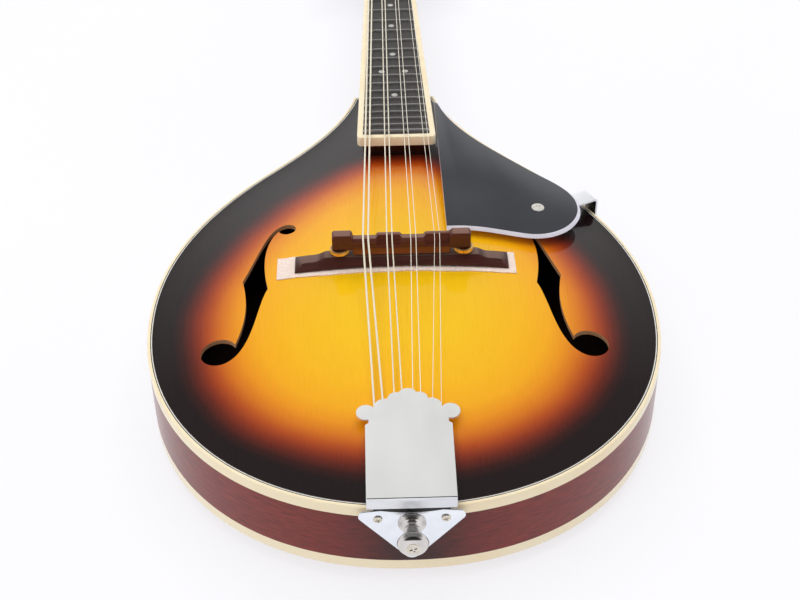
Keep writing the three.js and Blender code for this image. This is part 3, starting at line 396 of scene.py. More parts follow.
BRASS = speckled("brass_wheel", tone(232, 186, 116), tone(250, 214, 150), 0.3, 300.0, 0.08, **METAL)
FRET_METAL = brushed("fret_metal", tone(196, 194, 190), tone(222, 220, 216), 0.24, (0.1, 1, 1))
PLAIN_STRING = brushed("plain_string", tone(246, 236, 214), tone(255, 250, 238), 0.4, (1, 0.1, 1), 0.02, 0.1)
WOUND_STRING = wound_string()
PEARL = speckled("dull_pearl_inlay", tone(176, 174, 168), tone(206, 204, 198), 0.3, 400.0, 0.05)
BUTTON = pearl_button()


# ---------------------------------------------------------------- meshes
#
# A shape is a pair: its points in millimetres and its faces as lists of point numbers.


def add(name, shape, material, body=BODY, slot=None, stands_for=(), smooth=35, place=None):
    """Makes a piece from a shape, turned outwards, on its body, with its finish."""
    points, faces = shape
    place = Matrix.Scale(MM, 4) @ (place or Matrix.Identity(4))
    mesh = bpy.data.meshes.new(name)
    mesh.from_pydata([place @ Vector(p) for p in points], [], faces)
    work = bmesh.new()
    work.from_mesh(mesh)
    bmesh.ops.recalc_face_normals(work, faces=work.faces)
    work.to_mesh(mesh)
    work.free()
    mesh.shade_smooth()
    mesh.set_sharp_from_angle(angle=math.radians(smooth))
    piece = bpy.data.objects.new(name, mesh)
    bpy.context.scene.collection.objects.link(piece)
    mesh.materials.append(material)
    if body:
        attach(piece, body)
    if stands_for:
        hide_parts(*stands_for)
    return piece


def skin(loops, ring=False):
    """Faces through loops of equal count; both ends are capped, or a ring joins the last to the first."""
    count = len(loops[0])
    points = [p for loop in loops for p in loop]
    faces = []
    rows = len(loops) if ring else len(loops) - 1
    for row in range(rows):
        here = row * count
        there = (row + 1) % len(loops) * count
        for i in range(count):
            j = (i + 1) % count
            faces.append((here + i, here + j, there + j, there + i))
    if not ring:
        faces.append(tuple(range(count)))
        faces.append(tuple(range(len(points) - count, len(points))))
    return points, faces


def slab(outline, low, high):
    """A flat piece between two heights."""
    loops = [[(x, y, z) for x, y in outline] for z in (low, high)]
    return skin(loops)


def circle(radius, count=32, centre=(0, 0)):
    angles = [2 * math.pi * i / count for i in range(count)]
    return [(centre[0] + radius * math.cos(a), centre[1] + radius * math.sin(a)) for a in angles]


def turned(profile, count=32):
    """A turned piece about Z from (radius, z) pairs; it is capped flat at both ends."""
    return skin([[(x, y, z) for x, y in circle(radius, count)] for radius, z in profile])


def swept(path, radius, count=10, closed=False):
    """A round wire along a path."""
    path = [Vector(p) for p in path]
    angles = [2 * math.pi * k / count for k in range(count)]
    loops = []
    side = None
    total = len(path)
    for i, point in enumerate(path):
        after = path[(i + 1) % total] if closed else path[min(i + 1, total - 1)]
        before = path[i - 1] if closed or i else path[0]
        along = (after - before).normalized()
        if side is None:
            side = along.orthogonal().normalized()
        side = (side - along * side.dot(along)).normalized()
        other = along.cross(side)
        loops.append([point + radius * (math.cos(a) * side + math.sin(a) * other) for a in angles])
    return skin(loops, ring=closed)


def toothed(teeth, steps, rows, x=0.0):
    """A toothed disc about Z: each row is its z, its radius on a tooth and its radius between teeth."""
    loops = []
    count = teeth * steps
    for z, crest, root in rows:
        loop = []
        for k in range(count):
            radius = crest if k % steps < steps / 2 else root
            turn = 2 * math.pi * k / count
            loop.append((x + radius * math.cos(turn), radius * math.sin(turn), z))
        loops.append(loop)
    return skin(loops)


def helix(radius, start, rise, turns, steps, across=1):
    """Points that wind about Z, rising at each turn; across is -1 for one that starts on the other side."""
    points = []
    for k in range(turns * steps + 1):
        turn = 2 * math.pi * k / steps
        points.append((across * radius * math.cos(turn), radius * math.sin(turn), start + rise * k / steps))
    return points


def joined(*parts):
    """Several shapes as one."""
    points, faces = [], []
    for part_points, part_faces in parts:
        offset = len(points)
        points += [tuple(p) for p in part_points]
        faces += [tuple(i + offset for i in face) for face in part_faces]
    return points, faces


def moved(shape, matrix):
    points, faces = shape
    return [matrix @ Vector(p) for p in points], faces


def block(x, y, z):
    """A box between the two limits given for each axis."""
    return slab([(x[0], y[0]), (x[1], y[0]), (x[1], y[1]), (x[0], y[1])], z[0], z[1])


def bake(piece):
    """Makes the piece's modifiers part of its mesh."""
    bpy.context.view_layer.update()
    graph = bpy.context.evaluated_depsgraph_get()
    mesh = bpy.data.meshes.new_from_object(piece.evaluated_get(graph))
    piece.modifiers.clear()
    piece.data = mesh


def rounded(piece, width, segments=2, angle=40):
    """Rounds the edges that are sharper than the angle."""
    bevel = piece.modifiers.new("edges", "BEVEL")
    bevel.width = width * MM
    bevel.segments = segments
    bevel.limit_method = "ANGLE"
    bevel.angle_limit = math.radians(angle)
    bevel.harden_normals = False
    bake(piece)
    piece.data.shade_smooth()
    piece.data.set_sharp_from_angle(angle=math.radians(35))
    return piece


def carved(piece, *tools, operation="DIFFERENCE", smooth=35):
    """Cuts the tools, which are shapes, out of the piece, or joins them to it."""
    for shape in tools:
        tool = add("tool", shape, piece.data.materials[0], body=None)
        cut = piece.modifiers.new("cut", "BOOLEAN")
        cut.object = tool
        cut.operation = operation
        cut.solver = "EXACT"
        bake(piece)
        bpy.data.objects.remove(tool)
    piece.data.shade_smooth()
    piece.data.set_sharp_from_angle(angle=math.radians(smooth))
    return piece


def bezier(corners, count):
    """Points along a cubic curve with these four corners."""
    t = np.linspace(0, 1, count + 1)[:, None]
    a, b, c, d = [np.array(p, float) for p in corners]
    return (1 - t) ** 3 * a + 3 * (1 - t) ** 2 * t * b + 3 * (1 - t) * t * t * c + t**3 * d


def arc(centre, radius, start, end, count):
    """Points along a round arc, its angles in degrees."""
    angles = np.radians(np.linspace(start, end, count + 1))
    return np.column_stack([centre[0] + radius * np.cos(angles), centre[1] + radius * np.sin(angles)])


def mirrored(half):
    """A closed outline from its treble half, listed from the tail end to the far end."""
    half = [tuple(p) for p in half]
    other = [(-x, y) for x, y in reversed(half) if abs(x) > 1e-6]
    return half + other


def evenly(points, spacing):
    """A line's points, set again at an even spacing."""
    points = np.asarray(points, float)
    steps = np.hypot(*np.diff(points, axis=0).T)
    length = np.concatenate([[0], np.cumsum(steps)])
    wanted = np.linspace(0, length[-1], max(2, round(length[-1] / spacing)) + 1)
    return np.column_stack([np.interp(wanted, length, points[:, k]) for k in (0, 1)])


def inset(outline, distance):
    """A closed outline, listed anticlockwise, moved inwards with mitred corners."""
    outline = np.asarray(outline, float)
    edges = np.roll(outline, -1, axis=0) - outline
    edges /= np.hypot(*edges.T)[:, None]
    normals = np.column_stack([edges[:, 1], -edges[:, 0]])
    before = np.roll(normals, 1, axis=0)
    mitre = (before + normals) / (1 + (before * normals).sum(1))[:, None]
    return outline - distance * mitre


# ---------------------------------------------------------------- body outline and arching


def body_half():
    angles = np.linspace(math.pi / 2, 0, 200)
    length = BOUT_CENTRE_Y - TAIL_Y
    lower = np.column_stack([
        HALF_WIDTH * np.abs(np.cos(angles)) ** (2 / BOUT_POWER),
        BOUT_CENTRE_Y - length * np.sin(angles) ** (2 / BOUT_POWER),
    ])
    lower[0, 0] = 0
    upper = bezier([(127.5, -28), (127.5, 22.6), (105.3, 63.5), (71.2, 100.1)], 80)
    shoulder = bezier([(71.2, 100.1), (47.2, 125.9), (30.6, 148.6), (24, NECK_JOINT_Y)], 60)
    return evenly(np.vstack([lower, upper[1:], shoulder[1:]]), 2.0)


OUTLINE = np.array(mirrored(body_half()))
EDGE = inset(OUTLINE, BINDING_WIDTH + 0.3) - ARCH_CENTRE
EDGE_ANGLES = np.arctan2(EDGE[:, 1], EDGE[:, 0])
EDGE_REACH = np.hypot(*EDGE.T)


def arch_fraction(x, y):
    """0 at the middle of the arch and 1 at the plate's edge."""
    dx = np.asarray(x, float) - ARCH_CENTRE[0]
    dy = np.asarray(y, float) - ARCH_CENTRE[1]
    order = np.argsort(EDGE_ANGLES)
    reach = np.interp(np.arctan2(dy, dx), EDGE_ANGLES[order], EDGE_REACH[order], period=2 * math.pi)
    return np.hypot(dx, dy) / reach


def arch_share(fraction, flat=0.0):
    """How much of the full rise is reached; the middle is level out to the flat fraction."""
    return np.clip((1 - fraction**2) / (1 - flat**2), 0, 1) ** ARCH_POWER


def top_z(x, y):
    return TOP_Z + TOP_ARCH * arch_share(arch_fraction(x, y))


def edge_distance(points):
    """How far each point lies from the body's outline."""
    gaps = points[:, None, :] - OUTLINE[None, :, :]
    return np.sqrt((gaps**2).sum(2).min(1))


# The burst darkens towards the neck too, from a curve that crowns at the first of these.
CROWN_Y = 100
CROWN_CURVE = 115
CROWN_DARK = 24
BURST_SOFTNESS = 9.0
# Its dark edge is a little wider on the treble side.
TREBLE_EXTRA = 2.5
TREBLE_FULL_X = 80


def burst_depth(points):
    """How deep inside the sunburst a point lies: the way in from the edge, or from a curve below the neck."""
    x, y = points[:, 0], points[:, 1]
    crown = CROWN_Y - x**2 / CROWN_CURVE
    below = CROWN_DARK + (crown - y) / np.sqrt(1 + (2 * x / CROWN_CURVE) ** 2)
    edge = edge_distance(points) - TREBLE_EXTRA * np.clip(x / TREBLE_FULL_X, 0, 1)
    nearest = np.exp(-edge / BURST_SOFTNESS) + np.exp(-below / BURST_SOFTNESS)
    return -BURST_SOFTNESS * np.log(nearest) + 1.0


def set_values(piece, name, values, kind="FLOAT"):
    """Stores one value for each vertex, which a material reads by its name."""
    layer = piece.data.attributes.new(name, kind, "POINT")
    field = "vector" if kind == "FLOAT_VECTOR" else "value"
    layer.data.foreach_set(field, np.asarray(values, np.float32).ravel())


def sound_hole():
    """The treble f-hole: two eyes joined by a stem with a nick on either side."""
    pieces = [
        bezier([(62, 40.4), (70.5, 37), (73, 18), (81.2, -6.8)], 26),
        bezier([(81.2, -6.8), (78, -22), (77, -36), (82.4, -54.7)], 22),
        arc((90.2, -58.9), 8.9, 151.7, 151.7 - 360 + 100.7, 40),
        bezier([(87.5, -67.4), (73, -62), (73.5, -28), (67.9, -14.9)], 28),
        bezier([(67.9, -14.9), (72.5, 6), (71, 26), (64.4, 35.2)], 24),
        arc((59.8, 36.4), 4.6, -14.6, -298.8, 24),
    ]
    return np.vstack([piece[:-1] for piece in pieces])


def inside(points, outline):
    """Which points lie inside a closed outline."""
    x, y = points[:, 0], points[:, 1]
    result = np.zeros(len(points), bool)
    for (ax, ay), (bx, by) in zip(outline, np.roll(outline, -1, axis=0)):
        crosses = (ay > y) != (by > y)
        with np.errstate(divide="ignore", invalid="ignore"):
            result ^= crosses & (x < (bx - ax) * (y - ay) / (by - ay) + ax)
    return result


def plate_mesh(holes, spacing):
    """Points and triangles that fill the plate's outline around its holes."""
    hole_margin = 0.9
    rim = inset(OUTLINE, PLATE_INSET)
    layers = []
    for fraction in np.linspace(0.985, 0.03, 50):
        loop = ARCH_CENTRE + fraction * (rim - ARCH_CENTRE)
        step = max(1, round(spacing / (2.0 * fraction)))
        layers.append(loop[::step])
    points = list(rim)
    edges = [(i, (i + 1) % len(rim)) for i in range(len(rim))]
    for hole in holes:
        start = len(points)
        points += list(hole)
        edges += [(start + i, start + (i + 1) % len(hole)) for i in range(len(hole))]
    inner = np.vstack(layers)
    for hole in holes:
        gaps = np.sqrt(((inner[:, None, :] - hole[None, :, :]) ** 2).sum(2)).min(1)
        inner = inner[(gaps > hole_margin) & ~inside(inner, hole)]
    points += list(inner)
    result = delaunay_2d_cdt([Vector(p) for p in points], edges, [], 1, 1e-5)
    flat = np.array([tuple(v) for v in result[0]])
    faces = np.array([tuple(f) for f in result[2]])
    middles = flat[faces].mean(1)
    keep = inside(middles, rim)
    for hole in holes:
        keep &= ~inside(middles, hole)
    return flat, faces[keep]


def plate_walls(faces, count):
    """The quads that join two copies of a flat mesh along its open edges."""
    seen = {}
    for face in faces.tolist():
        for a, b in zip(face, face[1:] + face[:1]):
            edge = (min(a, b), max(a, b))
            seen[edge] = None if edge in seen else (a, b)
    return [(a, b, b + count, a + count) for a, b in (pair for pair in seen.values() if pair)]


def arched_plate(name, material, lower, upper, flat=0.0, holes=(), spacing=3.0, **facts):
    """A plate whose two faces rise from their edges: each face is (edge z, rise)."""
    points, faces = plate_mesh(holes, spacing)
    share = arch_share(arch_fraction(points[:, 0], points[:, 1]), flat)
    heights = [edge + rise * share for edge, rise in (upper, lower)]
    solid = np.vstack([np.column_stack([points, z]) for z in heights])
    count = len(points)
    walls = plate_walls(faces, count)
    under = [[i + count for i in reversed(face)] for face in faces.tolist()]
    piece = add(name, (solid.tolist(), faces.tolist() + under + walls), material, **facts)
    set_values(piece, "burst", burst_depth(np.vstack([points, points])))
    return piece


def outline_ring(name, profile, material, **facts):
    """A ring that follows the body's outline, from (inset, z) pairs."""
    loops = [[(x, y, z) for x, y in inset(OUTLINE, distance)] for distance, z in profile]
    return add(name, skin(loops, ring=True), material, **facts)


TOP_EDGE = 2.3
TOP_THINNING = 0.4
BACK_EDGE = 3.5
BACK_THINNING = 0.3


def make_top_and_back():
    """The two arched plates; the walls of the f-holes are bare, and the cavity's faces are in shade."""
    treble = sound_hole()
    bass = treble[::-1] * (-1, 1)
    top = arched_plate(
        "sunburst_top", TOP_WOOD, (TOP_Z - TOP_EDGE, TOP_ARCH - TOP_THINNING), (TOP_Z, TOP_ARCH),
        holes=(treble, bass), slot="sunburst_top", stands_for=("top_plate",),
    )
    top.data.materials.append(BARE_SPRUCE)
    top.data.materials.append(CAVITY_WOOD)
    for face in top.data.polygons:
        if len(face.vertices) == 4:
            face.material_index = 1
        elif face.normal.z < -0.5:
            face.material_index = 2
    back = arched_plate(
        "mahogany_back", BACK_WOOD, (BACK_Z, -BACK_ARCH), (BACK_Z + BACK_EDGE, BACK_THINNING - BACK_ARCH),
        BACK_FLAT, spacing=4.0, slot="mahogany", stands_for=("back_plate",),
    )
    back.data.materials.append(CAVITY_WOOD)
    for face in back.data.polygons:
        face.material_index = int(face.normal.z > 0.5)


# Where the sides are stained dark: near the tail, and from here on towards the neck.
TAIL_SHADE_RADIUS = 27
NECK_SHADE_START = 60
NECK_SHADE_SPAN = 90
GRAIN_ALONG = 0.05


def make_sides():
    low = BACK_Z + BACK_BINDING_HEIGHT
    high = TOP_Z - TOP_BINDING_HEIGHT
    third = (high - low) / 3
    ledge = BINDING_WIDTH + 0.3
    under_top, over_back = TOP_Z - 3.3, BACK_Z + 3.8
    sides = outline_ring("mahogany_sides", [
        (0, low), (0, low + third), (0, high - third), (0, high), (ledge, high), (ledge, under_top),
        (RIM_THICKNESS, under_top), (RIM_THICKNESS, over_back), (ledge, over_back), (ledge, low),
    ], SIDE_WOOD, slot="mahogany", stands_for=("rim",))
    loops = len(sides.data.vertices) // len(OUTLINE)
    steps = np.hypot(*(np.roll(OUTLINE, -1, axis=0) - OUTLINE).T)
    along = np.tile(np.concatenate([[0], np.cumsum(steps)[:-1]]) * GRAIN_ALONG, loops)
    heights = np.array([v.co.z / MM for v in sides.data.vertices])
    set_values(sides, "along", np.column_stack([along, heights, heights * 0]), "FLOAT_VECTOR")
    from_tail = np.hypot(OUTLINE[:, 0], OUTLINE[:, 1] - TAIL_Y)
    tail = np.exp(-((from_tail / TAIL_SHADE_RADIUS) ** 2))
    neck = np.clip((OUTLINE[:, 1] - NECK_SHADE_START) / NECK_SHADE_SPAN, 0, 1)
    set_values(sides, "shade", np.tile(np.clip(tail + neck, 0, 1), loops))


def binding_section(inner_z, outer_z, width):
    """A binding's section as (inset, z) pairs, with its outer corner rounded."""
    corner = 0.7
    outward = math.copysign(1, outer_z - inner_z)
    section = [(0, inner_z), (0, outer_z - outward * corner)]
    for a in (0.5, 1.05):
        section.append((corner - corner * math.cos(a), outer_z - outward * corner * (1 - math.sin(a))))
    return section + [(corner, outer_z), (width, outer_z), (width, inner_z)]


def make_bindings():
    outline_ring("top_binding_strip", binding_section(TOP_Z - TOP_BINDING_HEIGHT, TOP_Z, BINDING_WIDTH),
                 CREAM, slot="cream_binding", stands_for=("top_binding",))
    outline_ring("back_binding_strip", binding_section(BACK_Z + BACK_BINDING_HEIGHT, BACK_Z, PLATE_INSET),
                 CREAM, slot="cream_binding", stands_for=("back_binding",))
    low, high = TOP_Z - 1.5, TOP_Z + 0.02
    start = BINDING_WIDTH
    lines = (("outer", BLACK_PURFLING_AND_PAINTED_SHADE), ("white", WHITE_LINE), ("inner", BLACK_PURFLING_AND_PAINTED_SHADE))
    for width, (name, material) in zip(PURFLING_WIDTHS, lines):
        end = start + width
        outline_ring("purfling_" + name, [(start, low), (start, high), (end, high), (end, low)], material,
                     slot="cream_binding")
        start = end


def dress(node, material):
    """Gives a CAD node that stays its finish."""
    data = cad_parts[node].data
    data.materials.clear()
    data.materials.append(material)


def make_inside():
    for node in ("top_lining", "back_lining", "tone_bar_bass", "tone_bar_treble"):
        dress(node, BARE_SPRUCE)
    for node in ("tail_block", "neck_block"):
        dress(node, INNER_WOOD)
    dress("truss_rod", NICKEL)


# ---------------------------------------------------------------- neck


def board_half(y):
    share = (y - BOARD_END) / (SCALE_LENGTH - BOARD_END)
    return BOARD_END_HALF + share * (NUT_HALF - BOARD_END_HALF)


def board_outline(gap, front=BOARD_END, back=SCALE_LENGTH):
    """The fingerboard's outline, moved inwards by the gap on its sides and body end."""
    end = front + gap
    corner = max(0.6, 3.0 - gap * 0.6)
    half = board_half(end) - gap
    centre = (half - corner, end + corner)
    return mirrored([(0, end), *arc(centre, corner, -90, -2, 8), (board_half(back) - gap, back)])


# How deep the neck's back lies under its face, from the heel to the headstock.
SHAFT_DEPTHS = [
    (172, 55), (182, 52), (188, 45), (194, 34), (201, 24), (210, 18.4), (224, 16.6), (250, 16), (300, 15),
    (340, 14.2), (360, 14),
]


def shaft_depth(y):
    """The depth at a station, smoothed over a few millimetres."""
    ys, depths = zip(*SHAFT_DEPTHS)
    return np.mean([float(np.interp(y + d, ys, depths)) for d in (-4, -2, 0, 2, 4)])


def shaft_loops():
    """Half-round sections of the neck, cut off flat where the heel meets the body and its cap."""
    top = -BOARD_THICKNESS - 0.3
    front = NECK_JOINT_Y + 0.25
    heel_z = BACK_Z + HEEL_CAP_THICKNESS
    inverse = NECK_FRAME.inverted()
    loops = []
    for y in [172 + 1.5 * i for i in range(30)] + [218 + 6 * i for i in range(24)]:
        half, depth = board_half(min(y, SCALE_LENGTH)), shaft_depth(y)
        loop = []
        for k in range(41):
            turn = math.pi * k / 40
            row = NECK_FRAME @ Vector((half * math.cos(turn), y, top - depth * math.sin(turn)))
            row.z = max(row.z, heel_z)
            row.y = max(row.y, front)
            loop.append(inverse @ row)
        loops.append(loop)
    return [loop for loop in loops if max((NECK_FRAME @ p).y for p in loop) > front + 0.2]


def make_neck():
    neck = add("carved_neck", skin(shaft_loops()), NECK_WOOD, slot="mahogany", stands_for=("neck",),
               place=NECK_FRAME)
    head = moved(slab(mirrored(head_half()), -HEAD_THICKNESS, 0), HEAD_FRAME)
    carved(neck, head, operation="UNION")
    rod_pocket = moved(block((-4.2, 4.2), (-2, 19), (-7.5, 3)), HEAD_FRAME)
    carved(neck, rod_pocket)
    rounded(neck, 0.9, 3, 50)


def make_tongue():
    """The dark wood that carries the fingerboard over the top."""
    half = 19.0
    loops = []
    for y in np.linspace(BOARD_END + 1.0, 178, 24):
        row = NECK_FRAME @ Vector((0, y, -BOARD_THICKNESS - 0.3))
        bass_foot, treble_foot = [float(top_z(side * half, row.y)) - 0.4 for side in (-1, 1)]
        loops.append([(-half, row.y, row.z), (half, row.y, row.z), (half, row.y, treble_foot),
                      (-half, row.y, bass_foot)])
    add("neck_tongue", skin(loops), DARK_WOOD, slot="mahogany")


def head_half():
    """The headstock's treble half, from the nut to its tip."""
    return [
        (0, -4), (14.6, -4),
        *bezier([(14.9, 2), (17, 15), (31, 14), (33, 30)], 16),
        *bezier([(36, 118), (36.5, 130), (27, 131), (20, 134)], 12),
        *bezier([(20, 134), (14, 137), (8, 139.6), (0, 140)], 8)[1:],
    ]


def make_heel_cap():
    front = NECK_JOINT_Y + 0.6
    curve = bezier([(8.2, front + 3), (7.5, front + 8), (4, front + 11), (0, front + 11)], 14)
    shape = slab(mirrored([(0, front), (8.2, front), *curve]), BACK_Z, BACK_Z + HEEL_CAP_THICKNESS)
    rounded(add("heel_cap_plate", shape, EBONY, slot="ebony", stands_for=("heel_cap",)), 0.4)


def make_board():
    board = slab(board_outline(BOARD_BINDING), -BOARD_THICKNESS, 0)
    add("ebony_board", board, EBONY, slot="ebony", stands_for=("fingerboard",), place=NECK_FRAME)
    outer = board_outline(0)
    inner = board_outline(BOARD_BINDING)
    half = len(outer) // 2
    outer = outer[half + 1:] + outer[:half + 1]
    inner = inner[half + 1:] + inner[:half + 1]
    # The binding's section: how far in, and the height; 0 and 1 are its two faces, the rest millimetres.
    section = [(0, -BOARD_THICKNESS), (0, -0.5), (0.15, -0.15), (0.5, 0.0), (1, 0.0), (1, -BOARD_THICKNESS)]
    loops = []
    for a, b in zip(outer, inner):
        a, b = Vector(a), Vector(b)
        width = (b - a).length
        loop = []
        for share, z in section:
            reach = share if share in (0, 1) else share / width
            point = a.lerp(b, min(1, reach))
            loop.append((point.x, point.y, z))
        loops.append(loop)
    add("board_binding_strip", skin(loops), CREAM, slot="cream_binding",
        stands_for=("fingerboard_binding",), place=NECK_FRAME)


def make_frets():
    """Round-topped wires, lower at their ends, each with a tang that sits in the board."""
    turns = [math.pi * k / 10 for k in range(11)]
    for n in range(1, FRET_COUNT + 1):
        y = SCALE_LENGTH / 2 ** (n / 12)
        half = board_half(y) - BOARD_BINDING - 0.1
        loops = []
        for share, size in ((-1, 0.45), (-0.985, 0.8), (-0.96, 1), (0.96, 1), (0.985, 0.8), (1, 0.45)):
            loop = [(share * half, y - math.cos(turn), size * math.sin(turn)) for turn in turns]
            loop += [(share * half, y + 0.3, -0.8), (share * half, y - 0.3, -0.8)]
            loops.append(loop)
        add(f"fret_{n:02d}", skin(loops), FRET_METAL, slot="steel", place=NECK_FRAME)


def make_dots():
    for n in DOT_FRETS:
        y = SCALE_LENGTH * (2 ** (-n / 12) + 2 ** (-(n - 1) / 12)) / 2
        spots = (-7.0, 7.0) if n == 12 else (0.0,)
        for k, x in enumerate(spots):
            dot = slab(circle(1.8, 28, (x, y)), -1.5, 0.04)
            add(f"inlay_{n:02d}_{k + 1}", dot, PEARL, slot="pearl_button", place=NECK_FRAME)
        for k, shift in enumerate((-1.6, 1.6) if n == 12 else (0.0,)):
            dot = moved(slab(circle(0.9, 16), -0.4, 0.06), Matrix.Rotation(-math.pi / 2, 4, "Y"))
            place = Matrix.Translation((-board_half(y + shift) - 0.02, y + shift, -2.6))
            add(f"side_dot_{n:02d}_{k + 1}", moved(dot, place), BLACK_PURFLING_AND_PAINTED_SHADE, slot="ebony", place=NECK_FRAME)


def nut_x(index):
    return PAIR_NUT_X[index // 2] + (-0.9, 0.9)[index % 2]


def make_nut():
    """A bone strip whose top is notched for each string and falls away towards the headstock."""
    top = []
    for index in range(8):
        x, r = nut_x(index), max(0.32, STRING_RADII[index] + 0.05)
        notch = [(x - r * math.cos(a), 1.7 - r * math.sin(a)) for a in (0.3, 1.2, 1.95, 2.85)]
        top += [(x - r, 1.85), *notch, (x + r, 1.85)]
    half = NUT_HALF
    crest = [(-half, 1.2), (-half + 0.6, 1.75), *top, (half - 0.6, 1.75), (half, 1.2)]
    loops = []
    for y, drop in ((0.15, 0.15), (0.5, 0), (1.6, 0.05), (NUT_LENGTH - 0.4, 0.45), (NUT_LENGTH, 0.75)):
        loop = [(x, SCALE_LENGTH + y, z - drop) for x, z in crest]
        loop += [(half, SCALE_LENGTH + y, -BOARD_THICKNESS), (-half, SCALE_LENGTH + y, -BOARD_THICKNESS)]
        loops.append(loop)
    add("notched_nut", skin(loops), BONE, slot="bone", stands_for=("nut",), place=NECK_FRAME)


def make_head_trim():
    """The headstock's black face and, by the nut, the two-layer cover of the truss rod."""
    face = slab(mirrored([(0, 1.2), (15, 1.2), *head_half()[3:]]), 0.05, 1.8)
    rounded(add("headstock_face", face, OVERLAY, slot="ebony", stands_for=("headstock_overlay",),
                place=HEAD_FRAME), 0.35)
    outline = mirrored([(0, 2.4), (7.5, 2.4), *bezier([(7.5, 8), (7.5, 14), (5, 20), (0, 26)], 16)])
    rounded(add("rod_cover_white_layer", slab(outline, 1.85, 2.9), WHITE_LINE, slot="black_plastic",
                stands_for=("truss_rod_cover",), place=HEAD_FRAME), 0.3)
    rounded(add("rod_cover_black_layer", slab(inset(outline, 0.7), 2.9, 3.6), GUARD_BLACK,
                slot="black_plastic", place=HEAD_FRAME), 0.25)
    for k, (x, y) in enumerate([(-5, 4.8), (5, 4.8), (0, 20.5)]):
        place = HEAD_FRAME @ Matrix.Translation((x, y, 3.55))
        add_screw(f"rod_cover_screw_{k + 1}", 1.3, 0.7, place, NICKEL)


def add_screw(name, radius, height, place, material, body=BODY, slot="steel", stands_for=(), stem=2.0):
    """A pan-head screw with a cross recess, its head standing on the place's z = 0."""
    profile = [(radius * 0.42, -stem), (radius * 0.42, -0.05), (radius, 0), (radius, height * 0.35)]
    for k in range(1, 7):
        turn = math.pi / 2 * k / 6
        profile.append((radius * max(0.06, math.cos(turn)), height * (0.35 + 0.65 * math.sin(turn))))
    screw = add(name, moved(turned(profile, 28), place), material, body=body, slot=slot, stands_for=stands_for)
    arm, width, depth = radius * 0.55, radius * 0.13, height * 0.55
    slots = []
    for turn in (0.4, 0.4 + math.pi / 2):
        bar = block((-arm, arm), (-width, width), (height - depth, height + 1))
        slots.append(moved(bar, place @ Matrix.Rotation(turn, 4, "Z")))
    carved(screw, *slots)


# ---------------------------------------------------------------- bridge


def make_pad():
    """A thin foam sheet under the bridge with slightly uneven, hand-cut edges."""
    low, high = box_mm("bridge_pad")
    across, along = 61, 11
    loops = []
    for i in range(across):
        x = low.x + (high.x - low.x) * i / (across - 1)
        ripple = 0.35 * math.sin(x * 0.21) + 0.2 * math.sin(x * 0.57 + 1)
        ys = [low.y + 0.4 + ripple * 0.6 + (high.y - low.y - 0.8) * j / (along - 1) for j in range(along)]
        below = [(x, y, float(top_z(x, y)) + 0.06) for y in ys]
        thick = [0.55 if j in (0, along - 1) else 0.95 for j in range(along)]
        above = [(x, y, z + t + 0.08 * math.sin(x * 0.9 + y)) for (_, y, z), t in zip(below, thick)]
        loops.append(below + above[::-1])
    pad = add("foam_pad", skin(loops), FOAM, slot="foam", stands_for=("bridge_pad",))


def make_bridge_base():
    """An arched base, wide at the foot and narrow at the seat, that dips and rounds off at its ends."""
    high = box_mm("bridge_base")[1]
    half_length, foot, seat, seat_z = high.x, high.y, 2.9, high.z
    crown_z, crown_drop, foot_height = 61.6, 3.4, 0.8
    dip = bezier([(37.4, seat_z), (40, seat_z), (41, 62.9), (45.5, 62.6)], 12)
    end = bezier([(45.5, 62.6), (49.5, 62.4), (52.4, 61.6), (half_length, 59.3)], 12)
    half = [(x, seat_z) for x in (0, 12, 24)] + [tuple(p) for p in dip] + [tuple(p) for p in end[1:]]
    loops = []
    for x, top in [(-x, top) for x, top in half[:0:-1]] + half:
        low = crown_z - crown_drop * (x / half_length) ** 2
        ledge = low + foot_height
        loops.append([(x, y, z) for y, z in (
            (-foot, low), (foot, low), (foot, ledge), (seat, top), (-seat, top), (-foot, ledge))])
    base = add("rosewood_base", skin(loops), ROSEWOOD, slot="rosewood", stands_for=("bridge_base",))
    rounded(base, 0.35, 3, 32)


# Each station of the saddle: its x, which crest it has, and how far that crest is bevelled down.
SADDLE_STATIONS = [
    (-35, "end", 0.9), (-34.1, "end", 0), (-25.8, "end", 0), (-24.9, "end", 0.9),
    (-24.4, "front", 0), (-13.1, "front", 0), (-11.9, "rear", 0), (-0.9, "rear", 0),
    (0.4, "front", 0), (11.2, "front", 0), (12.5, "rear", 0), (24.2, "rear", 0),
    (24.9, "end", 0.9), (25.8, "end", 0), (34.1, "end", 0), (35, "end", 0.9),
]


def make_saddle():
    """A compensated bar: its crest lies forward under two pairs of strings and back under the other two."""
    low, high = box_mm("bridge_saddle")
    back, top = high.y, high.z
    foot_z, end_foot_z, ledge_z = low.z, low.z + 3, low.z + 4
    crests = {
        "end": [(-back, top - 0.6), (-back + 0.6, top), (back - 0.6, top), (back, top - 0.6)],
        "front": [(-back, 74.1), (-1.2, 75.4), (0.2, 75.4), (back, 74.6)],
        "rear": [(-back + 0.05, 71.0), (1.0, 75.9), (1.9, 76.3), (back, 76.2)],
    }
    loops = []
    for x, kind, drop in SADDLE_STATIONS:
        foot = end_foot_z if kind == "end" else foot_z
        crest = [(y, z - drop) for y, z in crests[kind]]
        loops.append([(x, y, z) for y, z in [(back, foot), (-back, foot), (-back, ledge_z), *crest]])
    saddle = add("rosewood_saddle", skin(loops), SADDLE_WOOD, body="saddle", slot="rosewood",
                 stands_for=("bridge_saddle",))
    saddle.data.materials.append(SADDLE_FOOT_WOOD)
    for face in saddle.data.polygons:
        middle = face.center / MM
        face.material_index = int(middle.z < ledge_z and abs(middle.x) < 24.4)
    rounded(saddle, 0.25, 2, 25)


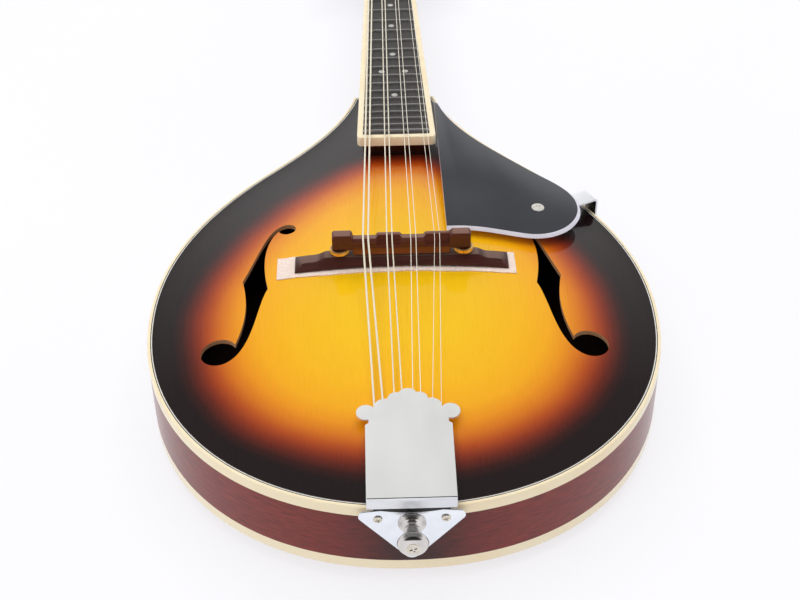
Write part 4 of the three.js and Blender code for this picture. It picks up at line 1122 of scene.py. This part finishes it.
def make_bridge_hardware():
    """A knurled wheel and a threaded post for each end of the saddle."""
    low, high = box_mm("thumbwheel_treble")
    size = (high.x - low.x) / 2
    bevel, groove, face, pitch = 0.45, 0.22, size - 0.6, 0.5
    rows = [(low.z, face, face), (low.z + bevel, size, size - groove),
            (high.z - bevel, size, size - groove), (high.z, face, face)]
    thread = [(1.25, 62.5)]
    for k in range(22):
        z = 62.7 + pitch * k
        thread += [(1.25, z), (1.5, z + pitch / 2)]
    thread.append((1.2, 74.0))
    centre = sum(corner.x for corner in box_mm("bridge_post_treble")) / 2
    for side_name, side in SIDES:
        add(f"knurled_wheel_{side_name}", toothed(40, 4, rows, side * centre), BRASS,
            body=f"wheel_{side_name}", slot="brass", stands_for=(f"thumbwheel_{side_name}",))
        post = moved(turned(thread, 20), Matrix.Translation((side * centre, 0, 0)))
        add(f"threaded_post_{side_name}", post, BRASS, slot="brass", stands_for=(f"bridge_post_{side_name}",))


# ---------------------------------------------------------------- tailpiece

COVER_REAR = Vector((0, -162.6, TOP_Z + 8))
COVER_FRAME = Matrix.Translation(COVER_REAR) @ Matrix.Rotation(math.atan(0.07), 4, "X")
COVER_HALF = 19.8
COVER_SEAM = 1.5
COVER_FRONT = -118.6 - COVER_REAR.y


def make_cover():
    """The satin sheet, with a scalloped end towards the bridge."""
    half = [(0, COVER_SEAM), (COVER_HALF, COVER_SEAM), (COVER_HALF, COVER_FRONT), (18.2, COVER_FRONT + 1.2)]
    for centre, radius, start, end, count in (
        ((19.3, -110.8), 4.5, -104, 150, 28), ((10.6, -107.6), 4.9, -11, 100, 12),
        ((5.2, -102.9), 4.1, 1, 105, 12), ((0, -100.9), 4.5, 26, 90, 9),
    ):
        half += [(x, y - COVER_REAR.y) for x, y in arc(centre, radius, start, end, count)]
    sheet = add("cover_plate", slab(mirrored(half), -0.9, 0), SATIN, body="cover", slot="chrome",
                stands_for=("tailpiece_cover",), place=COVER_FRAME)
    rounded(sheet, 0.22, 2)


def make_cover_lip():
    """The bright fold at the rear, dimpled above the end pin, and the cover's two side walls."""
    wall, count, drop = 0.85, 56, 1.2
    loops = []
    for i in range(count + 1):
        x = COVER_HALF * (2 * i / count - 1)
        dimple = 0.55 * math.exp(-((x / 2.6) ** 2))
        loop = [(COVER_SEAM - 0.02, -0.06), (0.7, -0.06), (0.3, -0.12), (0.06, -0.38), (0.0, -0.8)]
        loop += [(dimple * math.sin(math.pi * k / 4), -0.8 - drop * k) for k in (1, 2, 3)]
        loop += [(0.0, -0.8 - drop * 4), (wall, -5.6), (wall, -1.0), (COVER_SEAM - 0.02, -0.9)]
        loops.append([(x, y, z) for y, z in loop])
    parts = [skin(loops)]
    for side in (-1, 1):
        x = sorted((side * COVER_HALF, side * (COVER_HALF - 0.8)))
        parts.append(block(x, (0.9, COVER_FRONT - 0.2), (-4.0, -0.7)))
    add("cover_lip", joined(*parts), BRIGHT_PLATE, body="cover", slot="chrome", place=COVER_FRAME)


def make_painted_seam_shadow():
    """A black strip of painted shade where the satin face of the cover ends, just before its rear fold: it
    stands in for the dark line of shade there.
    """
    groove = block((-COVER_HALF + 0.3, COVER_HALF - 0.1), (1.2, 1.6), (-0.5, 0.02))
    add("painted_seam_shadow", groove, BLACK_PURFLING_AND_PAINTED_SHADE, body="cover", slot="chrome", place=COVER_FRAME)


def make_tail_base():
    """The strip that is bent over the body's edge, with a hook for each string."""
    outer = box_mm("tailpiece_base")[0].y
    half, behind = 16.8, outer + 0.3
    bend = [(behind, -5.5), (behind, 0.1), (outer + 0.45, 0.8), (outer + 0.9, 1.3), (-112, 7.5), (-109.5, 7.5),
            (-109.5, 6.6), (-112, 6.4), (outer + 1.5, 0.45), (outer + 1.05, 0.3), (outer + 1, -5.5)]
    hook = [(-129.4, 4.6), (-130.4, 6.2), (-131.4, 7.4), (-132.4, 7.6), (-133.2, 7.0)]
    parts = [skin([[(x, y, TOP_Z + z) for y, z in bend] for x in (-half, half)])]
    for x in TAIL_STRING_X:
        parts.append(swept([(x, y, TOP_Z + z) for y, z in hook], 0.6, 10))
    strip = add("tailpiece_strip", joined(*parts), CHROME, slot="chrome", stands_for=("tailpiece_base",))
    # Painted shade: the strip's faces at the front and over its bend take the black purfling colour, standing
    # in for the shade under the cover's lip.
    strip.data.materials.append(BLACK_PURFLING_AND_PAINTED_SHADE)
    for face in strip.data.polygons:
        face.material_index = int(face.center.y / MM < outer + 1.6)


def make_tail_triangle():
    """The plate on the tail, whose upper edge dips so that a gap shows under the cover's lip, dark with the
    painted shade on the strip behind it.
    """
    outer, thickness = box_mm("tailpiece_base")[0].y, 1.0
    half = [(0, 17.4), *arc((0, 21.0), 3.6, -80, -42, 5), *arc((20.6, 44.6), 3.0, -40, 92, 14)]
    half += [(18.5, 47.75), (16.0, 48.1), *bezier([(13.5, 48.3), (9, 47.4), (5, 46.9), (0, 46.85)], 12)]
    plate = skin([[(x, y, z) for x, z in mirrored(half)] for y in (outer, outer + thickness)])
    rounded(add("tail_triangle", plate, CHROME, slot="chrome"), 0.28, 2)


def facing_tail(x, z, y):
    """A place on the tail plate whose +Z points away from the body."""
    return Matrix.Translation((x, y, z)) @ Matrix.Rotation(math.pi / 2, 4, "X")


def make_end_pin():
    """The strap pin with its ringed neck, its screw and the two screws of the tail plate."""
    low, high = box_mm("end_pin")
    plate = box_mm("tailpiece_base")[0].y
    place = facing_tail(0, (low.z + high.z) / 2, plate)
    profile = [
        (2.4, -12), (2.9, 0.05), (6.3, 0.05), (6.3, 0.7), (6.1, 0.95), (5.8, 0.75), (5.5, 1.1), (5.2, 0.9),
        (4.9, 1.25), (4.6, 1.05), (4.2, 1.45), (3.8, 1.6), (3.2, 2.0), (2.8, 2.7), (2.65, 3.5), (2.8, 4.1),
        (3.4, 4.5), (3.7, 4.9), (3.7, 5.3), (3.4, 5.6), (3.3, 5.75), (3.9, 6.0), (4.2, 6.4), (4.2, 6.8),
        (3.9, 7.15), (3.8, 7.3), (4.4, 7.55), (4.75, 7.95), (4.75, 8.4), (4.4, 8.8), (4.1, 9.0), (4.3, 9.3),
        (5.0, 9.7), (6.2, 10.4), (6.9, 11.3), (7.0, 12.2), (6.7, 13.1), (6.0, 14.0), (5.0, 14.7), (3.9, 15.1),
        (3.4, 15.15),
    ]
    add("strap_pin", moved(turned(profile, 64), place), POLISHED, slot="chrome", stands_for=("end_pin",),
        smooth=50)
    add_screw("strap_pin_screw", 3.3, 0.75, place @ Matrix.Translation((0, 0, 14.8)), NICKEL)
    for side_name, _ in SIDES:
        node = f"tailpiece_screw_{side_name}"
        low, high = box_mm(node)
        place = facing_tail((low.x + high.x) / 2, (low.z + high.z) / 2, plate - 0.02)
        add_screw(f"tail_screw_{side_name}", 2.1, 0.9, place, NICKEL, stands_for=(node,))


# ---------------------------------------------------------------- pickguard

GUARD_LEFT = 24.0
GUARD_FRAME = Matrix.Translation((GUARD_LEFT, 0, TOP_Z + 15.5)) @ Matrix.Rotation(math.atan(0.06), 4, "Y")
GUARD_SCREW = (73.8, 41.9)


def guard_outline():
    """The straight edge beside the strings, and four curves round the bridge's side back to it."""
    pieces = [
        np.array([(22.9, 146), (24.3, 22.6)]),
        bezier([(24.3, 22.6), (40, 25), (52, 20), (66, 17.5)], 22),
        bezier([(66, 17.5), (84, 15), (97, 30), (97, 44)], 26),
        bezier([(97, 44), (97, 60), (84, 68), (74, 78)], 22),
        bezier([(74, 78), (52, 100), (32, 118), (25.8, 146)], 34),
    ]
    return np.vstack([piece[:-1] for piece in pieces] + [np.array([(25.8, 146)])]) - (GUARD_LEFT, 0)


def make_guard():
    """Black over white, with a wide bevel on every edge but the straight one beside the strings."""
    outline = guard_outline()
    bevel = 1.7
    white = [(0, -2.0), (0, -1.75), (bevel * 0.8, -0.35), (bevel, -0.3)]
    black = [(bevel, -0.3), (bevel, -0.1), (bevel + 0.15, 0.0)]
    straight = outline[:, 0] < 2.0

    def layers(profile):
        loops = []
        for distance, z in profile:
            widened = outline - np.column_stack([straight * distance, straight * 0.0])
            fitted = inset(widened, distance)
            fitted[:, 1] = np.minimum(fitted[:, 1], outline[:, 1].max() - distance)
            loops.append([(x, y, z) for x, y in fitted])
        return skin(loops)

    add("guard_white_layer", layers(white), GUARD_WHITE, slot="black_plastic", place=GUARD_FRAME,
        stands_for=("pickguard",))
    add("guard_black_layer", layers(black), GUARD_BLACK, slot="black_plastic", place=GUARD_FRAME)
    place = GUARD_FRAME @ Matrix.Translation((GUARD_SCREW[0] - GUARD_LEFT, GUARD_SCREW[1], 0.05))
    add_screw("guard_screw_head", 3.4, 0.9, place, PALE_STEEL, stands_for=("pickguard_screw",), stem=6.0)


def make_guard_bracket():
    """A bent strip: under the guard, out over the edge, down the side and in under the back's edge."""
    reach, width, metal, bend, hook = 35.8, 10.0, 1.2, 2.4, 10
    top, foot, angle = 56.8, 5.6, math.radians(28)

    def bent(gap):
        """The strip's outer face, or the inner one where the gap is the metal's thickness."""
        return [(-7, top - gap), *arc((reach - bend, top - bend), bend - gap, 90, 0, 8),
                *arc((reach - bend, foot + bend), bend - gap, 0, -90, 8), (reach - hook, foot + gap)]

    profile = bent(0) + bent(metal)[::-1]
    strip = skin([[(u, w, z) for u, z in profile] for w in (-width / 2, width / 2)])
    place = Matrix.Translation((*GUARD_SCREW, 0)) @ Matrix.Rotation(angle, 4, "Z")
    bracket = add("guard_bracket_strip", strip, BRIGHT_PLATE, slot="chrome", place=place,
                  stands_for=("pickguard_bracket",))
    rounded(bracket, 0.25, 2, 50)
    # Painted shade: the arm's underside and the strip's inner faces take the black purfling colour, standing
    # in for the shade beneath the arm and inside the bend.
    bracket.data.materials.append(BLACK_PURFLING_AND_PAINTED_SHADE)
    outward = Vector((math.cos(angle), math.sin(angle), 0))
    for face in bracket.data.polygons:
        painted_shade_under_arm = face.normal.z < -0.5 and face.center.z / MM > 50
        face.material_index = int(painted_shade_under_arm or face.normal.dot(outward) < -0.5)


# ---------------------------------------------------------------- tuning machines


def make_tuner_plate(side_name, side):
    """The strip behind the headstock, with two ears that carry each worm."""
    centre = side * POST_X
    z = -HEAD_THICKNESS - 0.05
    outline = [(centre + x, y) for x, y in evenly_rounded(8, 21, 114, 3)]
    parts = [slab(outline, z - 1.45, z)]
    for y in TUNERS:
        for offset in (-6.5, 6.5):
            x, mid = centre + offset, y + WORM_OFFSET
            shape = [(mid - 3, z - 1.4), *arc((mid, WORM_Z), 3.0, 180, 360, 12), (mid + 3, z - 1.4)]
            loops = [[(x + w, v, h) for v, h in shape] for w in (-1.4, 1.4)]
            parts.append(skin(loops))
    plate = add(f"tuner_strip_{side_name}", joined(*parts), CHROME, slot="chrome",
                stands_for=(f"tuner_plate_{side_name}",), place=HEAD_FRAME)
    rounded(plate, 0.3, 2)
    for k, y in enumerate([23.5, 45.5, 68.5, 91.5, 111.5]):
        place = HEAD_FRAME @ Matrix.Translation((centre, y, z - 1.4)) @ Matrix.Rotation(math.pi, 4, "X")
        add_screw(f"tuner_strip_screw_{side_name}_{k + 1}", 1.8, 0.9, place, NICKEL)


def evenly_rounded(half_width, low, high, corner):
    """A rectangle with round corners, centred on x = 0."""
    outline = []
    for x, y, start in ((1, low, -90), (1, high, 0), (-1, high, 90), (-1, low, 180)):
        inward = corner if y == low else -corner
        centre = (x * (half_width - corner), y + inward)
        outline += [tuple(p) for p in arc(centre, corner, start, start + 90, 6)]
    return outline


def make_key(side_name, side, index):
    """A worm on its shaft, with a pearl-like button."""
    name = f"{side_name}_{index + 1}"
    turn = Matrix.Rotation(math.pi / 2 * side, 4, "Y")
    place = HEAD_FRAME @ Matrix.Translation((0, TUNERS[index] + WORM_OFFSET, WORM_Z)) @ turn
    shaft = turned([(1.5, 12), (1.5, 16.6), (1.7, 17), (1.7, 25), (1.5, 25.4), (1.5, 36.4), (2.6, 37),
                    (2.6, 38.6)], 24)
    thread = swept(helix(1.75, 17.6, 1.6, 4, 16), 0.42, 8)
    add(f"worm_shaft_{name}", moved(joined(shaft, thread), place), CHROME, body=f"key_{name}", slot="chrome")
    half_thickness, half_width, middle = 3.7, 6.9, 45
    turns = [2 * math.pi * j / 32 for j in range(32)]
    loops = []
    for k in range(1, 24):
        height = -math.cos(math.pi * k / 24)
        size = math.sin(math.pi * k / 24) ** 0.75
        loops.append([(half_thickness * size * math.sin(a), half_width * size * math.cos(a),
                       middle + half_width * height) for a in turns])
    add(f"button_{name}", moved(skin(loops), place), BUTTON, body=f"key_{name}", slot="pearl_button",
        stands_for=(f"tuner_key_{name}",))


def make_post(side_name, side, index):
    """A string post with its toothed wheel behind the headstock, and the ferrule that it turns in."""
    name = f"{side_name}_{index + 1}"
    body = f"post_{name}"
    place = HEAD_FRAME @ Matrix.Translation((side * POST_X, TUNERS[index], 0))
    rows = [(-19.4, 4.2, 3.5), (-18.9, 4.6, 3.9), (-15.7, 4.6, 3.9), (-15.2, 4.2, 3.5)]
    add(f"post_gear_{name}", moved(toothed(15, 6, rows), place), CHROME, body=body, slot="chrome")
    top = 13.0
    profile = [(POST_RADIUS, -15.5), (POST_RADIUS, 4.2), (2.75, 5.2), (2.6, WRAP_Z), (2.75, 7.6),
               (POST_RADIUS, 8.6), (POST_RADIUS, top - 0.9), (2.8, top - 0.3), (2.3, top)]
    post = add(f"string_post_{name}", moved(turned(profile, 32), place), CHROME, body=body, slot="chrome",
               stands_for=(f"tuner_post_{name}",))
    hole = skin([[(x, y, z) for x, z in circle(0.8, 16, (0, 9.8))] for y in (-5, 5)])
    carved(post, moved(hole, place))
    ferrule = turned([(4.9, 1.8), (4.9, 2.3), (4.5, 2.7), (3.4, 3.0)], 32)
    add(f"ferrule_{name}", moved(ferrule, place), CHROME, slot="chrome")
    place_back = place @ Matrix.Translation((0, 0, -19.35)) @ Matrix.Rotation(math.pi, 4, "X")
    add_screw(f"gear_screw_{name}", 2.2, 0.8, place_back, NICKEL, body=body)


# ---------------------------------------------------------------- strings


HOOK_Y = -131
WOUND_COUNT = 4


def string_route(index):
    """The corners of a string's way from its hook over the saddle and the nut to its post."""
    side = SIDES[index // WOUND_COUNT][1]
    tail_x = TAIL_STRING_X[index]
    bridge_x = PAIR_BRIDGE_X[index // 2] + (-1.3, 1.3)[index % 2]
    post_x = side * (POST_X - WRAP_RADIUS - STRING_RADII[index])
    return [
        Vector((tail_x, HOOK_Y, TOP_Z + 6.6)),
        Vector((tail_x, -111, TOP_Z + 8.3)),
        Vector((bridge_x, -3, STRING_Z - 0.35)),
        Vector((bridge_x, 0, STRING_Z)),
        Vector((bridge_x, 2.5, STRING_Z - 0.02)),
        NECK_FRAME @ Vector((nut_x(index), SCALE_LENGTH, 1.9)),
        NECK_FRAME @ Vector((nut_x(index), SCALE_LENGTH + NUT_LENGTH, 1.5)),
        HEAD_FRAME @ Vector((post_x, TUNERS[STRING_POSTS[index]], WRAP_Z)),
    ]


def string_end(index):
    """The sleeve of a wound string or the twist of a plain one, and the loop over its hook."""
    radius, tail_x = STRING_RADII[index], TAIL_STRING_X[index]
    if index < WOUND_COUNT:
        tie = [Vector((tail_x, HOOK_Y + 1.2 * k, TOP_Z + 6.6 + 0.1 * k)) for k in range(7)]
        end = swept(tie, radius + 0.2, 10)
    else:
        reach = radius + 0.1
        twist = []
        for k in range(60):
            angle = 2 * math.pi * k / 8
            twist.append(Vector((tail_x + reach * math.cos(angle), -130.5 + 0.13 * k,
                                 TOP_Z + 6.7 + 0.011 * k + reach * math.sin(angle))))
        end = swept(twist, radius, 6)
    turns = [2 * math.pi * k / 20 for k in range(20)]
    loop = [Vector((tail_x + 1.1 * math.sin(a), -131.9 + 1.2 * math.cos(a), TOP_Z + 6.4)) for a in turns]
    return end, swept(loop, max(0.2, radius * 0.7), 8, closed=True)


def make_string(index):
    """A string, and its windings, which turn with the post."""
    name, radius = STRING_NAMES[index], STRING_RADII[index]
    material = WOUND_STRING if index < WOUND_COUNT else PLAIN_STRING
    wire = joined(swept(string_route(index), radius, 12), *string_end(index))
    add(f"string_wire_{name}", wire, material, slot="string_metal", stands_for=(f"string_{name}",))
    side_name, side = SIDES[index // WOUND_COUNT]
    post = STRING_POSTS[index]
    coils = helix(WRAP_RADIUS + radius, WRAP_Z + 0.001, -(2 * radius + 0.05), 5, 24, -side)
    place = HEAD_FRAME @ Matrix.Translation((side * POST_X, TUNERS[post], 0))
    add(f"string_wrap_{name}", moved(swept(coils, radius, 8), place), material,
        body=f"post_{side_name}_{post + 1}", slot="string_metal")


# ---------------------------------------------------------------- stage


def make_floor():
    size = 6000
    finish = Finish("studio_floor", 0.75)
    haze = finish.noise(3.0, 2.0)
    finish.colour(finish.ramp(haze, [(0.3, tone(132, 132, 134)), (0.7, tone(136, 136, 138))]))
    finish.shader.inputs["Emission Color"].default_value = (0.97, 0.97, 1.0, 1.0)
    finish.shader.inputs["Emission Strength"].default_value = 0.76
    points = [(-size, -size, -0.05), (size, -size, -0.05), (size, size, -0.05), (-size, size, -0.05)]
    floor = add("floor", (points, [(0, 1, 2, 3)]), finish.material, body=None)


def make_world():
    """White near the horizon, greyer overhead, and dark above the horizon beyond the tail."""
    world = bpy.data.worlds.new("studio")
    bpy.context.scene.world = world
    world.use_nodes = True
    nodes, links = world.node_tree.nodes, world.node_tree.links
    split = nodes.new("ShaderNodeSeparateXYZ")
    links.new(nodes.new("ShaderNodeTexCoord").outputs["Generated"], split.inputs[0])
    height, ahead = split.outputs["Z"], split.outputs["Y"]
    levels = [(0.0, 1.0), (0.3, 0.92), (0.5, 0.46), (0.7, 0.2), (1.0, 0.24)]
    stops = [(position, (level, level, level * 1.015, 1)) for position, level in levels]
    dark = nodes.new("ShaderNodeMath")
    dark.operation = "MULTIPLY"
    links.new(map_range(nodes, links, ahead, (-0.45, -0.7, 0.0, 0.93)), dark.inputs[0])
    links.new(map_range(nodes, links, height, (0.1, 0.18, 0.0, 1.0)), dark.inputs[1])
    light = nodes.new("ShaderNodeMath")
    light.operation = "SUBTRACT"
    light.inputs[0].default_value = 1.0
    links.new(dark.outputs[0], light.inputs[1])
    product = nodes.new("ShaderNodeVectorMath")
    product.operation = "SCALE"
    links.new(colour_ramp(nodes, links, height, stops), product.inputs[0])
    links.new(light.outputs[0], product.inputs["Scale"])
    links.new(product.outputs[0], nodes["Background"].inputs["Color"])
    nodes["Background"].inputs["Strength"].default_value = 1.0


def add_light(name, place, target, size, power):
    """A soft rectangular lamp that shiny surfaces don't mirror."""
    data = bpy.data.lights.new(name, "AREA")
    data.shape = "RECTANGLE"
    data.size, data.size_y = size
    data.energy = power
    light = bpy.data.objects.new(name, data)
    bpy.context.scene.collection.objects.link(light)
    light.location = place
    light.rotation_euler = (Vector(target) - Vector(place)).to_track_quat("-Z", "Y").to_euler()
    light.visible_glossy = False


def make_lights():
    middle = (0, 0, 0.05)
    add_light("overhead", (0, 0.5, 2.2), middle, (2.6, 2.6), 41)
    add_light("key", (-0.8, -1.4, 1.8), middle, (1.4, 1.0), 12)


CAMERA_PLACE = (-0.01208, -0.61764, 0.54348)
CAMERA_LENS = 69.05
# How far it looks down, and how far it is turned and tilted, in radians.
CAMERA_PITCH, CAMERA_YAW, CAMERA_ROLL = 0.68983, -0.01779, -0.01360


def make_camera():
    """The camera stands low over the tail end and looks along the strings."""
    forward = Vector((0, math.cos(CAMERA_PITCH), -math.sin(CAMERA_PITCH)))
    right = Vector((1, 0, 0))
    up = right.cross(forward)
    turn = Matrix.Rotation(CAMERA_YAW, 3, "Z")
    forward, right, up = turn @ forward, turn @ right, turn @ up
    tilted_right = math.cos(CAMERA_ROLL) * right + math.sin(CAMERA_ROLL) * up
    tilted_up = math.cos(CAMERA_ROLL) * up - math.sin(CAMERA_ROLL) * right
    rotation = Matrix((tilted_right, tilted_up, -forward)).transposed()
    data = bpy.data.cameras.new("camera")
    data.sensor_width = 36
    data.lens = CAMERA_LENS
    data.clip_start = 0.01
    camera = bpy.data.objects.new("camera", data)
    bpy.context.scene.collection.objects.link(camera)
    camera.matrix_world = Matrix.Translation(CAMERA_PLACE) @ rotation.to_4x4()
    bpy.context.scene.camera = camera


make_camera()
make_top_and_back()
make_sides()
make_bindings()
make_inside()
make_neck()
make_tongue()
make_heel_cap()
make_board()
make_frets()
make_dots()
make_nut()
make_head_trim()
make_pad()
make_bridge_base()
make_saddle()
make_bridge_hardware()
make_cover()
make_cover_lip()
make_painted_seam_shadow()
make_tail_base()
make_tail_triangle()
make_end_pin()
make_guard()
make_guard_bracket()
for side_name, side in SIDES:
    make_tuner_plate(side_name, side)
    for index in range(len(TUNERS)):
        make_key(side_name, side, index)
        make_post(side_name, side, index)
for index in range(len(STRING_NAMES)):
    make_string(index)
make_floor()
make_world()
make_lights()
bpy.context.scene.view_settings.view_transform = "Standard"
